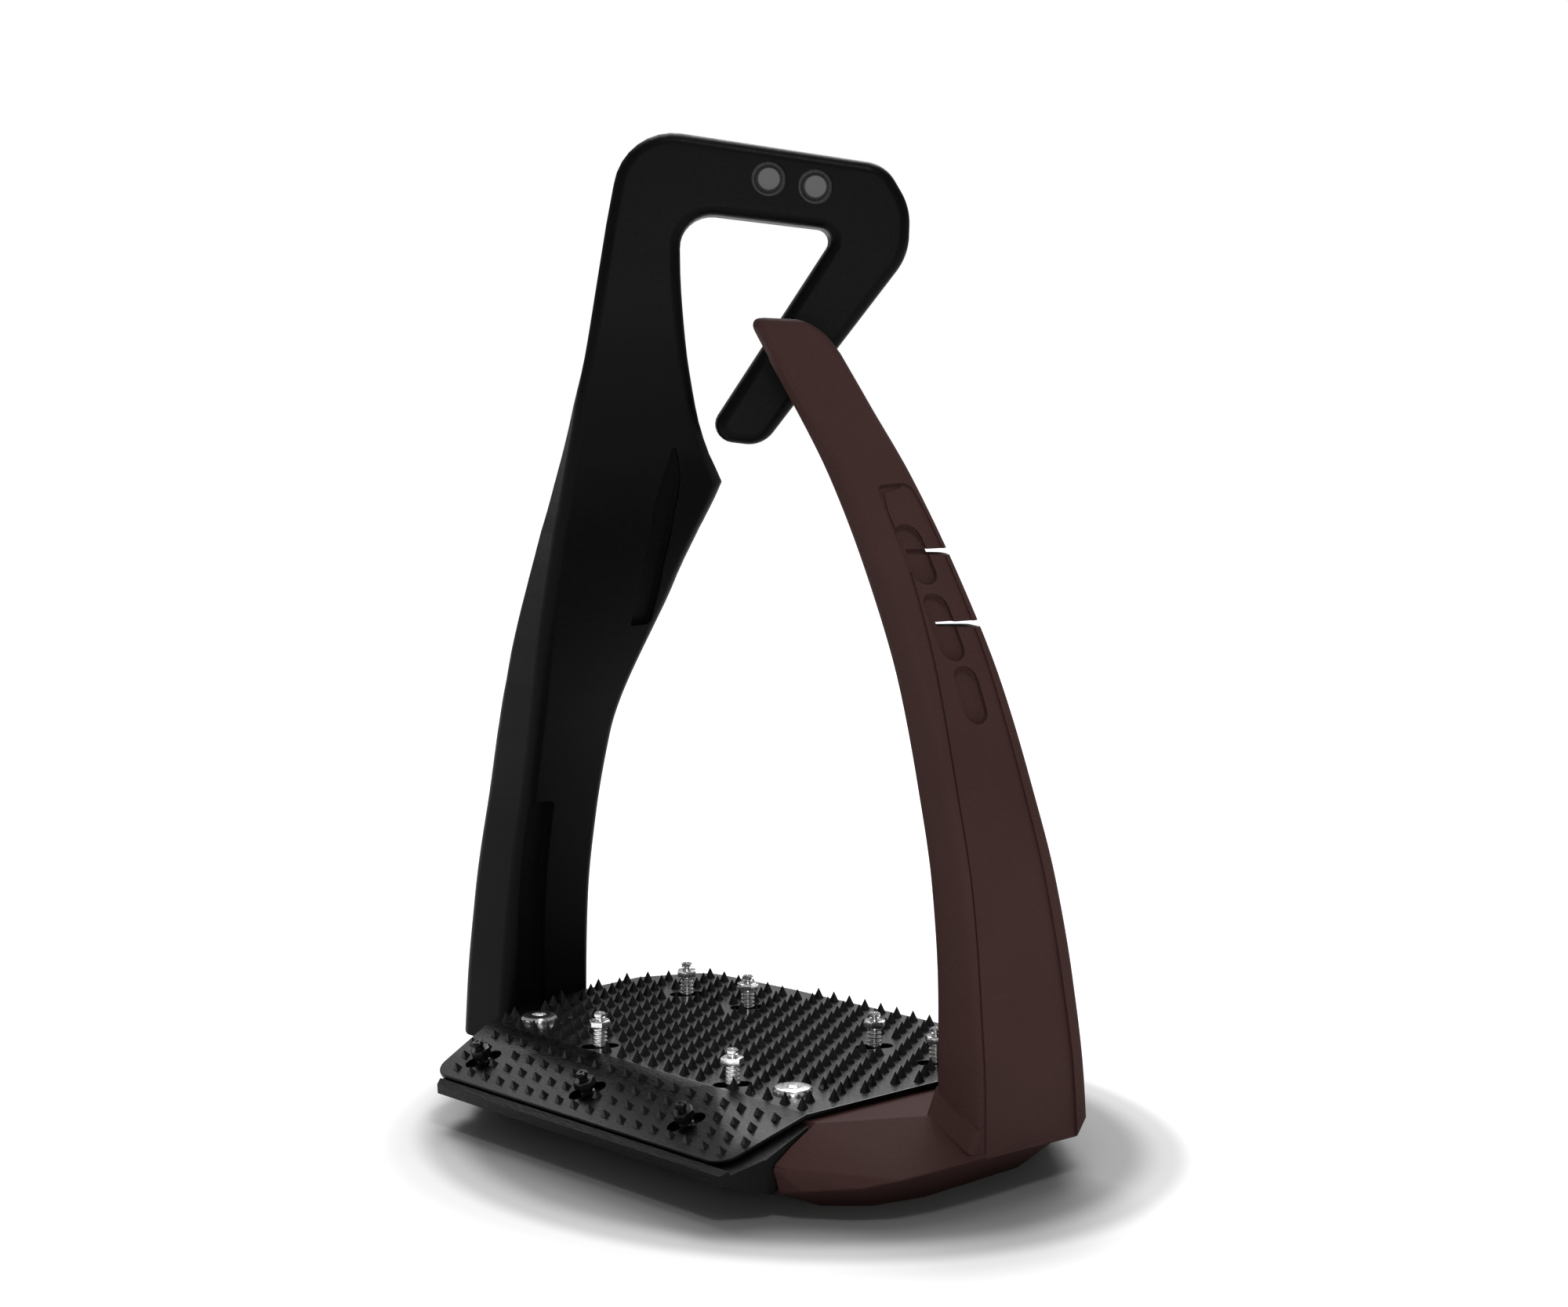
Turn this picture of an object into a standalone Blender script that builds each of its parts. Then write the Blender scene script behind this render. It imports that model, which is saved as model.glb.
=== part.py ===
"""Safety stirrup iron: a rigid inner branch with an open hook for the leather, and a flexible outer branch.

X runs across the foot from the inner branch to the outer one, Y from toe to heel, Z up.
The origin is on the flat sole, straight below the middle of the leather's eye.
"""
import math

import bmesh
import bpy
from mathutils import Matrix, Vector

# Driving sizes, in millimetres. ------------------------------------------------------------
GAP = 0.3                       # space left between neighbouring pieces
SOLE_HALF_LENGTH = 53.0         # flat sole, half its size across the foot
SOLE_TOE = -27.0
SOLE_HEEL = 27.0
WAIST_HEIGHT = 9.0              # height of the widest line of the base
BASE_OUTER_END = 64.4
BASE_INNER_END = -72.0
SEAT_HEIGHT = 9.0               # height of the outer branch's seat
FLOOR_HEIGHT = 6.6              # underside of the inner branch's platform

TREAD_HEIGHT = 16.3             # top of the tread plate
PLATE_THICKNESS = 1.0
CREASE_Y = -29.0                # line where the toe flap is bent down
FLAP_SLOPE = math.radians(20.75)
FLAP_LENGTH = 17.6              # along the slope

SPIKE_PITCH = 4.4
SPIKE_HEIGHT = 2.0
SPIKE_WIDTH = 1.8
SPIKE_MARGIN = 1.9              # least distance from a spike to an edge of the plate
SPIKE_CLEARANCE = 1.5           # and from a spike to a slot or a screw head

SLOT_LENGTH = 8.6
SLOT_WIDTH = 4.8
SLOT_TURN = math.radians(60)
GRIP_STUDS = [(-17.2, -25.6), (19.8, -25.6), (-36.7, 13.2), (-19.8, 14.5), (19.1, 11.0), (35.0, 11.0)]
FLAP_STUDS = [(-36.2, 10.4), (-5.2, 10.2), (22.2, 10.4)]     # across the foot, and down from the crease
STUD_HEX = 3.7                  # across corners
STUD_SHANK = 2.2
STUD_TIP = 2.0
STUD_HEIGHT = 6.5               # above the plate
STUD_DEPTH = 5.0                # thread below the top of the platform

TREAD_SCREWS = [(-41.0, -21.5), (31.0, -21.5)]
SCREW_HEAD = 7.6
SCREW_HEAD_HEIGHT = 1.7
SCREW_SHANK = 4.0
SCREW_LENGTH = 9.0
INSERT_DIAMETER = 6.4
INSERT_LENGTH = 6.0

BRANCH_FOOT = 7.4               # height where the inner branch's section starts
EYE_TURN = 40.0                 # degrees the eye is turned from the foot's line
EYE_PLATE = 11.0                # thickness of the eye and its hook
TWIST_START = 70.0              # the branch turns between these heights
TWIST_END = 150.0
HOOK_LOW = 124.0                # the hook lies wholly above this height
INNER_FOOT_PLATE = 15.4         # thickness of the inner branch at the tread
INNER_EDGE_BEVEL = 1.2
EYE_HOLES = [(2.0, 177.1), (10.5, 175.7)]
EYE_HOLE = 6.0
EYE_HOLE_DEPTH = 2.6
STRIP_LENGTH = 22.0
STRIP_WIDTH = 7.6
STRIP_THICKNESS = 2.5
NECK_END = -64.5                # the platform's neck ends inside the branch
NECK_TOE = -14.6
NECK_HEEL = 2.2

OUTER_TOP = 152.0
COVER_TOP = 124.0
COVER_THICKNESS = 2.6
COVER_RIDGE = 1.4               # band of the core left beside the cover
OUTER_EDGE_BEVEL = 1.0
BLADE_THICKNESS = 1.3
BLADE_WIDTH = 13.0
BLADE_TOP = 94.0
SLIT_HEIGHTS = [98.6, 111.0]
SLIT_WIDTH = 1.2
SLIT_END = 0.6                  # where the slits stop, across the branch
POCKETS = [(86.6, 9.0), (97.8, 10.0), (110.2, 9.6)]         # height of the middle, length
POCKET_WIDTH = 4.0
POCKET_DEPTH = 1.0

ROOT_LENGTH = 38.0              # the blade's clamped root, under the platform
ROOT_SCREWS = [(27.4, 4.5), (36.6, 4.5)]
SOLE_SCREWS = [(-46.0, -7.0), (-18.0, 8.0), (4.0, -12.0)]
SOLE_SCREW_HEAD = 7.0
SOLE_SCREW_SHANK = 3.6

# Where each branch stands at each height: (height, value). ---------------------------------
INNER_REACH = [(0, -65.0), (18, -64.2), (36, -62.0), (54, -57.5), (71, -50.5), (89, -40.0), (106, -27.5),
               (118, -17.5), (128, -10.0), (140, -3.5), (150, -0.8), (160, 0.0), (200, 0.0)]
INNER_PLATE = [(0, INNER_FOOT_PLATE), (18, INNER_FOOT_PLATE), (60, 14.2), (120, 11.5), (160, EYE_PLATE),
               (200, EYE_PLATE)]
INNER_TOE_EDGE = [(0, -18.0), (18, -17.2), (36, -16.7), (54, -17.0), (71, -19.4), (80, -22.5), (89, -26.6),
                  (98, -30.3), (106, -32.9), (114, -34.6), (122, -35.1), (134, -34.1), (147, -31.5), (160, -29.2),
                  (176, -26.4)]
INNER_HEEL_EDGE = [(0, 4.8), (18, 4.4), (36, 3.5), (54, 2.6), (71, 1.0), (89, -1.7), (98, -3.4), (106, -5.0),
                   (112, -5.3), (121.6, -4.4)]
EYE_POST_EDGE = [(121.6, -4.4), (128, -8.6), (134, -11.0), (140, -12.3), (147, -13.3), (160, -14.2), (172, -14.4)]

OUTER_X = [(0, 59.6), (18, 59.0), (36, 58.3), (54, 56.6), (71, 53.3), (89, 48.5), (106, 41.7), (124, 32.4),
           (137, 23.6), (146, 17.3), (152, 13.2)]
OUTER_Y = [(0, 4.6), (18, 4.4), (36, 3.7), (54, 2.6), (71, 1.4), (89, 0.0), (106, -1.5), (124, -3.1),
           (137, -4.3), (146, -5.2), (152, -5.8)]
OUTER_TURN = [(0, 0.0), (18, 0.0), (36, 4.5), (54, 9.0), (71, 13.5), (89, 20.0), (106, 26.0), (124, 29.5), (152, 30.0)]
OUTER_PLATE = [(0, 10.8), (18, 10.8), (36, 9.9), (71, 8.2), (106, 6.6), (137, 5.1), (152, 4.6)]
OUTER_WIDTH = [(0, 27.8), (18, 26.6), (36, 23.8), (54, 21.4), (71, 19.3), (89, 17.2), (106, 15.4), (124, 13.9),
               (137, 13.1), (152, 13.0)]

MM = 0.001
SLICE = 6.0                     # height between the cuts that let a flat piece be bent

for old in list(bpy.data.objects):
    bpy.data.objects.remove(old, do_unlink=True)
parts = bpy.data.collections.new("stirrup_iron")
bpy.context.scene.collection.children.link(parts)


# Tools. ------------------------------------------------------------------------------------
def value_at(stations, height):
    """Smooth value through the stations, level or straight where they are."""
    last = len(stations) - 2
    i = max([k for k in range(last + 1) if stations[k][0] <= height] or [0])
    (h0, v0), (h1, v1) = stations[i], stations[i + 1]

    def slope(k):
        if k in (0, last + 1):
            j = min(k, last)
            return (stations[j + 1][1] - stations[j][1]) / (stations[j + 1][0] - stations[j][0])
        before = (stations[k][1] - stations[k - 1][1]) / (stations[k][0] - stations[k - 1][0])
        after = (stations[k + 1][1] - stations[k][1]) / (stations[k + 1][0] - stations[k][0])
        return 0.0 if before * after <= 0 else 2 * before * after / (before + after)

    span = h1 - h0
    t = (height - h0) / span
    return ((2 * t**3 - 3 * t**2 + 1) * v0 + (t**3 - 2 * t**2 + t) * span * slope(i)
            + (3 * t**2 - 2 * t**3) * v1 + (t**3 - t**2) * span * slope(i + 1))


def rounded(corners, steps=4):
    """Outline through (x, y, radius) corners, each with an arc."""
    points = []
    count = len(corners)
    for i, (x, y, radius) in enumerate(corners):
        here = Vector((x, y))
        if radius == 0:
            points.append(here)
            continue
        before = (Vector(corners[i - 1][:2]) - here).normalized()
        after = (Vector(corners[(i + 1) % count][:2]) - here).normalized()
        half = before.angle(after) / 2
        reach = radius / math.tan(half)
        start, end = here + before * reach, here + after * reach
        middle = here + (before + after).normalized() * (radius / math.sin(half))
        for k in range(steps + 1):
            arm = (start - middle).normalized().slerp((end - middle).normalized(), k / steps)
            points.append(middle + arm * radius)
    return [(p.x, p.y) for p in points]


def obround(x, y, length, width, turn, steps=6):
    """Outline of a slot with round ends."""
    points = []
    for side in (1, -1):
        for k in range(steps + 1):
            a = -math.pi / 2 + math.pi * k / steps + (0 if side == 1 else math.pi)
            px = side * (length - width) / 2 + math.cos(a) * width / 2
            points.append((px, math.sin(a) * width / 2))
    c, s = math.cos(turn), math.sin(turn)
    return [(x + px * c - py * s, y + px * s + py * c) for px, py in points]


def linked(name, mesh):
    obj = bpy.data.objects.new(name, mesh)
    parts.objects.link(obj)
    return obj


def evaluated(obj):
    """Replaces an object by a plain mesh of what its curve and modifiers make."""
    bpy.context.view_layer.update()
    graph = bpy.context.evaluated_depsgraph_get()
    mesh = bpy.data.meshes.new_from_object(obj.evaluated_get(graph), depsgraph=graph)
    bm = bmesh.new()
    bm.from_mesh(mesh)
    bm.transform(obj.matrix_world)
    bmesh.ops.remove_doubles(bm, verts=bm.verts, dist=0.000002)
    bm.to_mesh(mesh)
    bm.free()
    name = obj.name
    bpy.data.objects.remove(obj, do_unlink=True)
    mesh.name = name
    return linked(name, mesh)


def prism(name, outline, low, high, bevel=0.0, steps=1):
    """A flat outline made thick, from height low to height high, with bevelled edges."""
    curve = bpy.data.curves.new(name, "CURVE")
    curve.dimensions = "2D"
    curve.fill_mode = "BOTH"
    spline = curve.splines.new("POLY")
    spline.points.add(len(outline) - 1)
    for point, (x, y) in zip(spline.points, outline):
        point.co = (x * MM, y * MM, 0, 1)
    spline.use_cyclic_u = True
    curve.extrude = (high - low) / 2 * MM - bevel * MM
    curve.bevel_depth = bevel * MM
    curve.bevel_resolution = steps - 1
    curve.offset = -bevel * MM
    obj = linked(name, curve)
    obj.location.z = (low + high) / 2 * MM
    return evaluated(obj)


def box(name, low, high):
    bm = bmesh.new()
    bmesh.ops.create_cube(bm, size=1)
    size = [(b - a) * MM for a, b in zip(low, high)]
    middle = [(a + b) / 2 * MM for a, b in zip(low, high)]
    bm.transform(Matrix.Translation(middle) @ Matrix.Diagonal((*size, 1)))
    mesh = bpy.data.meshes.new(name)
    bm.to_mesh(mesh)
    bm.free()
    return linked(name, mesh)


def cylinder(name, x, y, low, high, diameter, top=None, sides=20, turn=0.0):
    """A round or many-sided pin along Z; top is the diameter at its upper end."""
    bm = bmesh.new()
    upper = diameter if top is None else top
    bmesh.ops.create_cone(bm, cap_ends=True, segments=sides, radius1=diameter / 2 * MM,
                          radius2=upper / 2 * MM, depth=(high - low) * MM)
    bm.transform(Matrix.Translation((x * MM, y * MM, (low + high) / 2 * MM)) @ Matrix.Rotation(turn, 4, "Z"))
    mesh = bpy.data.meshes.new(name)
    bm.to_mesh(mesh)
    bm.free()
    return linked(name, mesh)


def turned(name, profile, sides=14):
    """A turned piece along Z from its (radius, height) profile, listed from top to bottom."""
    mesh = bpy.data.meshes.new(name)
    points = [(radius * MM, 0, height * MM) for radius, height in profile]
    mesh.from_pydata(points, [(i, i + 1) for i in range(len(points) - 1)], [])
    obj = linked(name, mesh)
    screw = obj.modifiers.new("Turn", "SCREW")
    screw.steps = screw.render_steps = sides
    screw.use_merge_vertices = True
    screw.merge_threshold = 0.00001
    return evaluated(obj)


def joined(obj, tool, operation):
    """Boolean of a solid with a tool, which is used up."""
    modifier = obj.modifiers.new("Cut", "BOOLEAN")
    modifier.operation = operation
    modifier.solver = "EXACT"
    modifier.object = tool
    result = evaluated(obj)
    bpy.data.objects.remove(tool, do_unlink=True)
    return result


def cut(obj, *tools):
    for tool in tools:
        obj = joined(obj, tool, "DIFFERENCE")
    return obj


def fuse(obj, *tools):
    for tool in tools:
        obj = joined(obj, tool, "UNION")
    return obj


def reshape(obj, place, axis=None, slice_every=SLICE):
    """Slices a piece across an axis, then moves each point by the function place."""
    bm = bmesh.new()
    bm.from_mesh(obj.data)
    if axis is not None:
        across = Vector([1.0 if k == axis else 0.0 for k in range(3)])
        heights = [v.co[axis] for v in bm.verts]
        level = (math.floor(min(heights) / MM / slice_every) + 1) * slice_every
        while level * MM < max(heights):
            bmesh.ops.bisect_plane(bm, geom=bm.verts[:] + bm.edges[:] + bm.faces[:], dist=1e-7,
                                   plane_co=across * (level * MM), plane_no=across)
            level += slice_every
    bmesh.ops.triangulate(bm, faces=bm.faces)
    for v in bm.verts:
        v.co = Vector(place(*(c / MM for c in v.co))) * MM
    bmesh.ops.remove_doubles(bm, verts=bm.verts, dist=0.000005)
    bmesh.ops.dissolve_degenerate(bm, edges=bm.edges, dist=0.000005)
    bm.to_mesh(obj.data)
    bm.free()
    return obj


def finish(obj, color, roughness, metallic=0.0, smooth=35.0):
    """Gives a piece its own material."""
    material = bpy.data.materials.new(obj.name)
    material.use_nodes = True
    shader = material.node_tree.nodes["Principled BSDF"]
    shader.inputs["Base Color"].default_value = (*color, 1)
    shader.inputs["Roughness"].default_value = roughness
    shader.inputs["Metallic"].default_value = metallic
    obj.data.materials.clear()
    obj.data.materials.append(material)
    obj.data.shade_smooth()
    obj.data.set_sharp_from_angle(angle=math.radians(smooth))
    return obj


BLACK = (0.006, 0.006, 0.006)
BROWN = (0.047, 0.023, 0.022)
STEEL = (0.55, 0.55, 0.56)
BRASS = (0.55, 0.40, 0.15)


# The two branches are drawn flat, then bent and turned to these laws. ---------------------
def inner_place(s, height, n):
    """Flat inner branch to its place: s across it, n out of its plane. The hook stays in the eye's plane."""
    blend = min(max((height - TWIST_START) / (TWIST_END - TWIST_START), 0), 1)
    middle = value_at(INNER_REACH, height)
    if height > HOOK_LOW and s > value_at(EYE_POST_EDGE, height) + GAP:
        blend, middle = 1, 0
    turn = math.radians(EYE_TURN * blend * blend * (3 - 2 * blend))
    reach = middle + n * value_at(INNER_PLATE, height) / EYE_PLATE
    return (s * math.sin(turn) + reach * math.cos(turn), s * math.cos(turn) - reach * math.sin(turn), height)


def outer_place(s, height, n):
    """Flat outer branch to its place: n is 0 on its outer face, and negative inwards."""
    turn = math.radians(value_at(OUTER_TURN, height))
    plate = value_at(OUTER_PLATE, height)
    fixed = COVER_THICKNESS + BLADE_THICKNESS + 2 * GAP
    full = value_at(OUTER_PLATE, 0)
    if n < -fixed:
        n = -fixed + (n + fixed) * (plate - fixed) / (full - fixed)
    out = n + plate / 2
    return (value_at(OUTER_X, height) + s * math.sin(turn) + out * math.cos(turn),
            value_at(OUTER_Y, height) + s * math.cos(turn) - out * math.sin(turn), height)


def inner_branch():
    """Eye, open hook, branch and the platform under the tread, in one piece."""
    toe = [(value_at(INNER_TOE_EDGE, h), h) for h in [BRANCH_FOOT] + list(range(12, 172, 6))]
    top = rounded([(-26.9, 172.0, 0), (-24.3, 186.9, 9.0), (23.4, 179.7, 5.0), (27.9, 172.0, 7.0), (27.6, 163.2, 6.0),
                   (0.6, 128.6, 4.5), (-10.2, 130.0, 2.0), (14.9, 167.8, 2.2), (-14.3, 171.4, 6.0), (-14.2, 160, 0)])
    post = [(value_at(EYE_POST_EDGE, h), h) for h in (160, 154, 147, 140, 134, 128, 124)]
    cusp = [(value_at(INNER_HEEL_EDGE, 121.6), 121.6)]
    heel = [(value_at(INNER_HEEL_EDGE, h), h) for h in list(range(118, 12, -6)) + [BRANCH_FOOT]]
    outline = toe + top[1:-1] + post + cusp + heel
    plate = prism("inner_branch", outline, -EYE_PLATE / 2, EYE_PLATE / 2, INNER_EDGE_BEVEL, 2)
    # The strip's pocket, open through the two holes.
    pocket = strip("eye_pocket", GAP)
    holes = [cylinder("eye_hole", x, z, 0, EYE_PLATE / 2 + 1, EYE_HOLE) for x, z in EYE_HOLES]
    plate = cut(plate, pocket, *holes)
    plate = reshape(plate, inner_place, axis=1)
    platform = prism("platform", platform_outline(0), FLOOR_HEIGHT, TREAD_HEIGHT - PLATE_THICKNESS - GAP)
    return fuse(plate, platform)


def strip(name, grow):
    """The steel strip in the eye's bar, drawn flat; grow makes it its own pocket."""
    (x0, z0), (x1, z1) = EYE_HOLES
    tilt = math.atan2(z1 - z0, x1 - x0)
    length, width = STRIP_LENGTH + 2 * grow, STRIP_WIDTH + 2 * grow
    face = EYE_PLATE / 2 - EYE_HOLE_DEPTH
    outline = obround((x0 + x1) / 2, (z0 + z1) / 2, length, width, tilt)
    return prism(name, outline, face - STRIP_THICKNESS - grow, face + grow)


def platform_outline(grow):
    g = grow
    return rounded([(NECK_END, NECK_TOE - g, 0), (-52 - g, NECK_TOE - g, 1), (-52 - g, -26.2 - g, 6), (40 + g, -26.2 - g, 6),
                    (41.5 + g, 24 + g, 8), (-52 - g, 24 + g, 8), (-52 - g, NECK_HEEL + g, 1), (NECK_END, NECK_HEEL + g, 0)])


def side_prism(name, outline, low, high, **options):
    """An outline drawn in X and Z, made thick along Y."""
    return reshape(prism(name, outline, low, high, **options), lambda x, z, y: (x, y, z))


def front_prism(name, outline, low, high, **options):
    """An outline drawn in Y and Z, made thick along X."""
    return reshape(prism(name, outline, low, high, **options), lambda y, z, x: (x, y, z))


def flipped(obj):
    """Turns the faces round after a placing that mirrors."""
    bm = bmesh.new()
    bm.from_mesh(obj.data)
    bmesh.ops.recalc_face_normals(bm, faces=bm.faces)
    bm.to_mesh(obj.data)
    bm.free()
    return obj


def hull(name, points):
    bm = bmesh.new()
    for point in points:
        bm.verts.new([c * MM for c in point])
    made = bmesh.ops.convex_hull(bm, input=bm.verts)
    loose = list({g for g in made["geom_interior"] + made["geom_unused"] if isinstance(g, bmesh.types.BMVert)})
    bmesh.ops.delete(bm, geom=loose, context="VERTS")
    bmesh.ops.dissolve_limit(bm, angle_limit=math.radians(0.5), verts=bm.verts, edges=bm.edges)
    mesh = bpy.data.meshes.new(name)
    bm.to_mesh(mesh)
    bm.free()
    return linked(name, mesh)


def band(line, low, high):
    """Outline of a bent leaf: its middle line, moved down by low and up by high."""
    sides = []
    for offset in (low, high):
        row = []
        for i, here in enumerate(line):
            before = Vector(here) - Vector(line[max(i - 1, 0)])
            after = Vector(line[min(i + 1, len(line) - 1)]) - Vector(here)
            along = (before.normalized() + after.normalized()).normalized()
            half = math.cos(before.angle(after, 0.0) / 2) if 0 < i < len(line) - 1 else 1.0
            across = Vector((-along.y, along.x)) * (offset / half)
            row.append((here[0] + across.x, here[1] + across.y))
        sides.append(row)
    return sides[0] + sides[1][::-1]


# Base. -------------------------------------------------------------------------------------
PLATFORM_TOP = TREAD_HEIGHT - PLATE_THICKNESS - GAP
OUTER_SECTION = (value_at(OUTER_Y, SEAT_HEIGHT), value_at(OUTER_WIDTH, SEAT_HEIGHT) / 2)
INNER_SECTION = (value_at(INNER_TOE_EDGE, SEAT_HEIGHT), value_at(INNER_HEEL_EDGE, SEAT_HEIGHT))
BRANCH_INSIDE = value_at(OUTER_X, SEAT_HEIGHT) - value_at(OUTER_PLATE, SEAT_HEIGHT) / 2
CARRIER_END = 44.0
TOE_LOW = Vector((-37.0, 4.5))                          # the shell's toe face, in Y and Z
TOE_HIGH = Vector((CREASE_Y + 0.6, PLATFORM_TOP))
ROOT_MIDDLE = FLOOR_HEIGHT - GAP - BLADE_THICKNESS / 2
BLADE_OUT = value_at(OUTER_PLATE, SEAT_HEIGHT) / 2 - COVER_THICKNESS - GAP - BLADE_THICKNESS / 2


def base_side(end, turn):
    """Hull points of one end of the base: sole, waist and rim. One end is the other after half a turn."""
    sole = [(SOLE_HALF_LENGTH - 9, SOLE_TOE, 0), (SOLE_HALF_LENGTH - 3, SOLE_TOE + 6, 0),
            (SOLE_HALF_LENGTH, SOLE_TOE + 16, 0), (SOLE_HALF_LENGTH, SOLE_HEEL - 14, 0),
            (SOLE_HALF_LENGTH - 4, SOLE_HEEL - 4, 0), (SOLE_HALF_LENGTH - 12, SOLE_HEEL, 0)]
    reach = abs(end)
    full = [(reach - 8, 30.0, 6.5), (reach - 3.5, 25.0, 7.8), (reach - 1, 18.0, 8.7), (reach, 9.0, WAIST_HEIGHT)]
    cut_back = [(reach, -10.0, WAIST_HEIGHT), (reach - 1.6, -16.0, 8.6), (reach - 7, -24.0, 8.0), (reach - 15, -30.0, 7.4)]
    waist = [(x, -turn * y, z) for x, y, z in full + cut_back]
    waist += [(CARRIER_END, *TOE_LOW), (CARRIER_END, -38.6, 9.4), (CARRIER_END, -34.4, 12.6), (44.0, 34.5, 6.0)]
    if turn > 0:
        waist.append((CARRIER_END + 4, -36.0, 5.0))
    rim = [(CARRIER_END, *TOE_HIGH), (CARRIER_END + 1.4, -24.6, PLATFORM_TOP), (reach - 17.4, -20.2, PLATFORM_TOP),
           (reach - 10.4, -11.4, PLATFORM_TOP), (reach - 8.4, 14.0, PLATFORM_TOP),
           (reach - 14, 26.0, PLATFORM_TOP), (40.0, 32.5, PLATFORM_TOP)]
    return [(turn * x, y, z) for x, y, z in sole + waist + rim]


def base_shell():
    """The tray under the tread, with seats for both branches."""
    shell = hull("base_shell", base_side(BASE_OUTER_END, 1) + base_side(BASE_INNER_END, -1))
    tray = prism("tray", platform_outline(GAP), FLOOR_HEIGHT - GAP, PLATFORM_TOP + 5)
    foot = box("foot_seat", (BASE_INNER_END - 5, INNER_SECTION[0] - 2 * GAP, BRANCH_FOOT - GAP),
               (-65 + INNER_FOOT_PLATE / 2 + 1.2, INNER_SECTION[1] + 2 * GAP, 25))
    seat = box("branch_seat", (BRANCH_INSIDE - 2 * GAP, OUTER_SECTION[0] - OUTER_SECTION[1] - 2 * GAP, SEAT_HEIGHT),
               (BASE_OUTER_END + 5, OUTER_SECTION[0] + OUTER_SECTION[1] + 2 * GAP, 25))
    slot = blade_root("root_slot", GAP)
    # Room for the carrier strip, in front of the straight toe face.
    front = [tuple(TOE_LOW), tuple(TOE_HIGH), (TOE_HIGH.x, 30), (-60, 30), (-60, TOE_LOW.y)]
    notch = flipped(front_prism("notch", front, -CARRIER_END, CARRIER_END))
    shell = cut(shell, notch, tray, foot, seat, slot, *[stud_bore(x, y) for x, y in GRIP_STUDS])
    for x, y in ROOT_SCREWS + SOLE_SCREWS:
        shell = cut(shell, cylinder("bore", x, y, -1, FLOOR_HEIGHT + 1, SOLE_SCREW_SHANK + 2 * GAP),
                    cylinder("recess", x, y, -1, 2.9, SOLE_SCREW_HEAD + 2 * GAP))
    return shell


def root_line():
    """Middle line of the blade's root: flat under the platform, then up to the seat."""
    tip = value_at(OUTER_X, SEAT_HEIGHT) + BLADE_OUT
    return [(60.4 - ROOT_LENGTH, ROOT_MIDDLE), (57.2, ROOT_MIDDLE), (tip, SEAT_HEIGHT - 0.8)]


def blade_root(name, grow):
    line = root_line()
    if grow:
        line = [(line[0][0] - grow, line[0][1]), line[1], (line[2][0] + 1.0, line[2][1] + 1.0)]
    half = BLADE_THICKNESS / 2 + grow
    middle = OUTER_SECTION[0]
    return flipped(side_prism(name, band(line, -half, half), middle - BLADE_WIDTH / 2 - grow, middle + BLADE_WIDTH / 2 + grow))


# Tread. ------------------------------------------------------------------------------------
def tread_outline():
    """The plate laid flat, its toe flap not yet bent."""
    return rounded([(42.6, CREASE_Y, 0), (43.8, 0, 0), (45.0, 16, 0), (42, 31.5, 12), (15, 32.6, 0), (-25, 31.5, 0),
                    (-48, 29.5, 8), (-55.2, 16, 4), (-55.0, 4, 0), (-53.0, -12, 0), (-47.0, CREASE_Y, 0),
                    (-43.6, CREASE_Y - FLAP_LENGTH, 5.0), (38.8, CREASE_Y - FLAP_LENGTH, 5.0)])


def bend_flap(x, y, z):
    """Bends the part of the flat plate beyond the crease down to the flap's slope."""
    down = CREASE_Y - y
    if down <= 0:
        return (x, y, z)
    over = z - TREAD_HEIGHT
    return (x, CREASE_Y - down * math.cos(FLAP_SLOPE) - over * math.sin(FLAP_SLOPE),
            TREAD_HEIGHT - down * math.sin(FLAP_SLOPE) + over * math.cos(FLAP_SLOPE))


def edge_distance(x, y, outline):
    """How far inside an outline a point is; negative outside."""
    inside, least = False, 1e9
    for (x0, y0), (x1, y1) in zip(outline, outline[1:] + outline[:1]):
        if (y0 > y) != (y1 > y) and x < (x1 - x0) * (y - y0) / (y1 - y0) + x0:
            inside = not inside
        span = (x1 - x0) ** 2 + (y1 - y0) ** 2
        t = min(max(((x - x0) * (x1 - x0) + (y - y0) * (y1 - y0)) / span, 0), 1)
        least = min(least, math.hypot(x - x0 - t * (x1 - x0), y - y0 - t * (y1 - y0)))
    return least if inside else -least


def spike_places(outline, slots):
    """Triangular grid of spikes over the tread and its flap, clear of edges, slots and screws."""
    row_step = SPIKE_PITCH * math.sqrt(3) / 2
    rows = [(-27.3 + row_step * k, (k % 2) / 2) for k in range(17)]
    rows += [(CREASE_Y - 3.3 - row_step * k, 0.65 + (k % 2) / 2) for k in range(5)]
    places = []
    for y, shift in rows:
        for i in range(-14, 13):
            x = SPIKE_PITCH * (i + shift)
            near_slot = any(edge_distance(x, y, slot) > -SPIKE_CLEARANCE for slot in slots)
            near_screw = any(math.hypot(x - sx, y - sy) < SCREW_HEAD / 2 + SPIKE_CLEARANCE for sx, sy in TREAD_SCREWS)
            if edge_distance(x, y, outline) > SPIKE_MARGIN and not near_slot and not near_screw:
                places.append((x, y))
    return places


def stud_slots():
    places = GRIP_STUDS + [(x, CREASE_Y - down) for x, down in FLAP_STUDS]
    return [obround(x, y, SLOT_LENGTH, SLOT_WIDTH, SLOT_TURN) for x, y in places]


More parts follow.
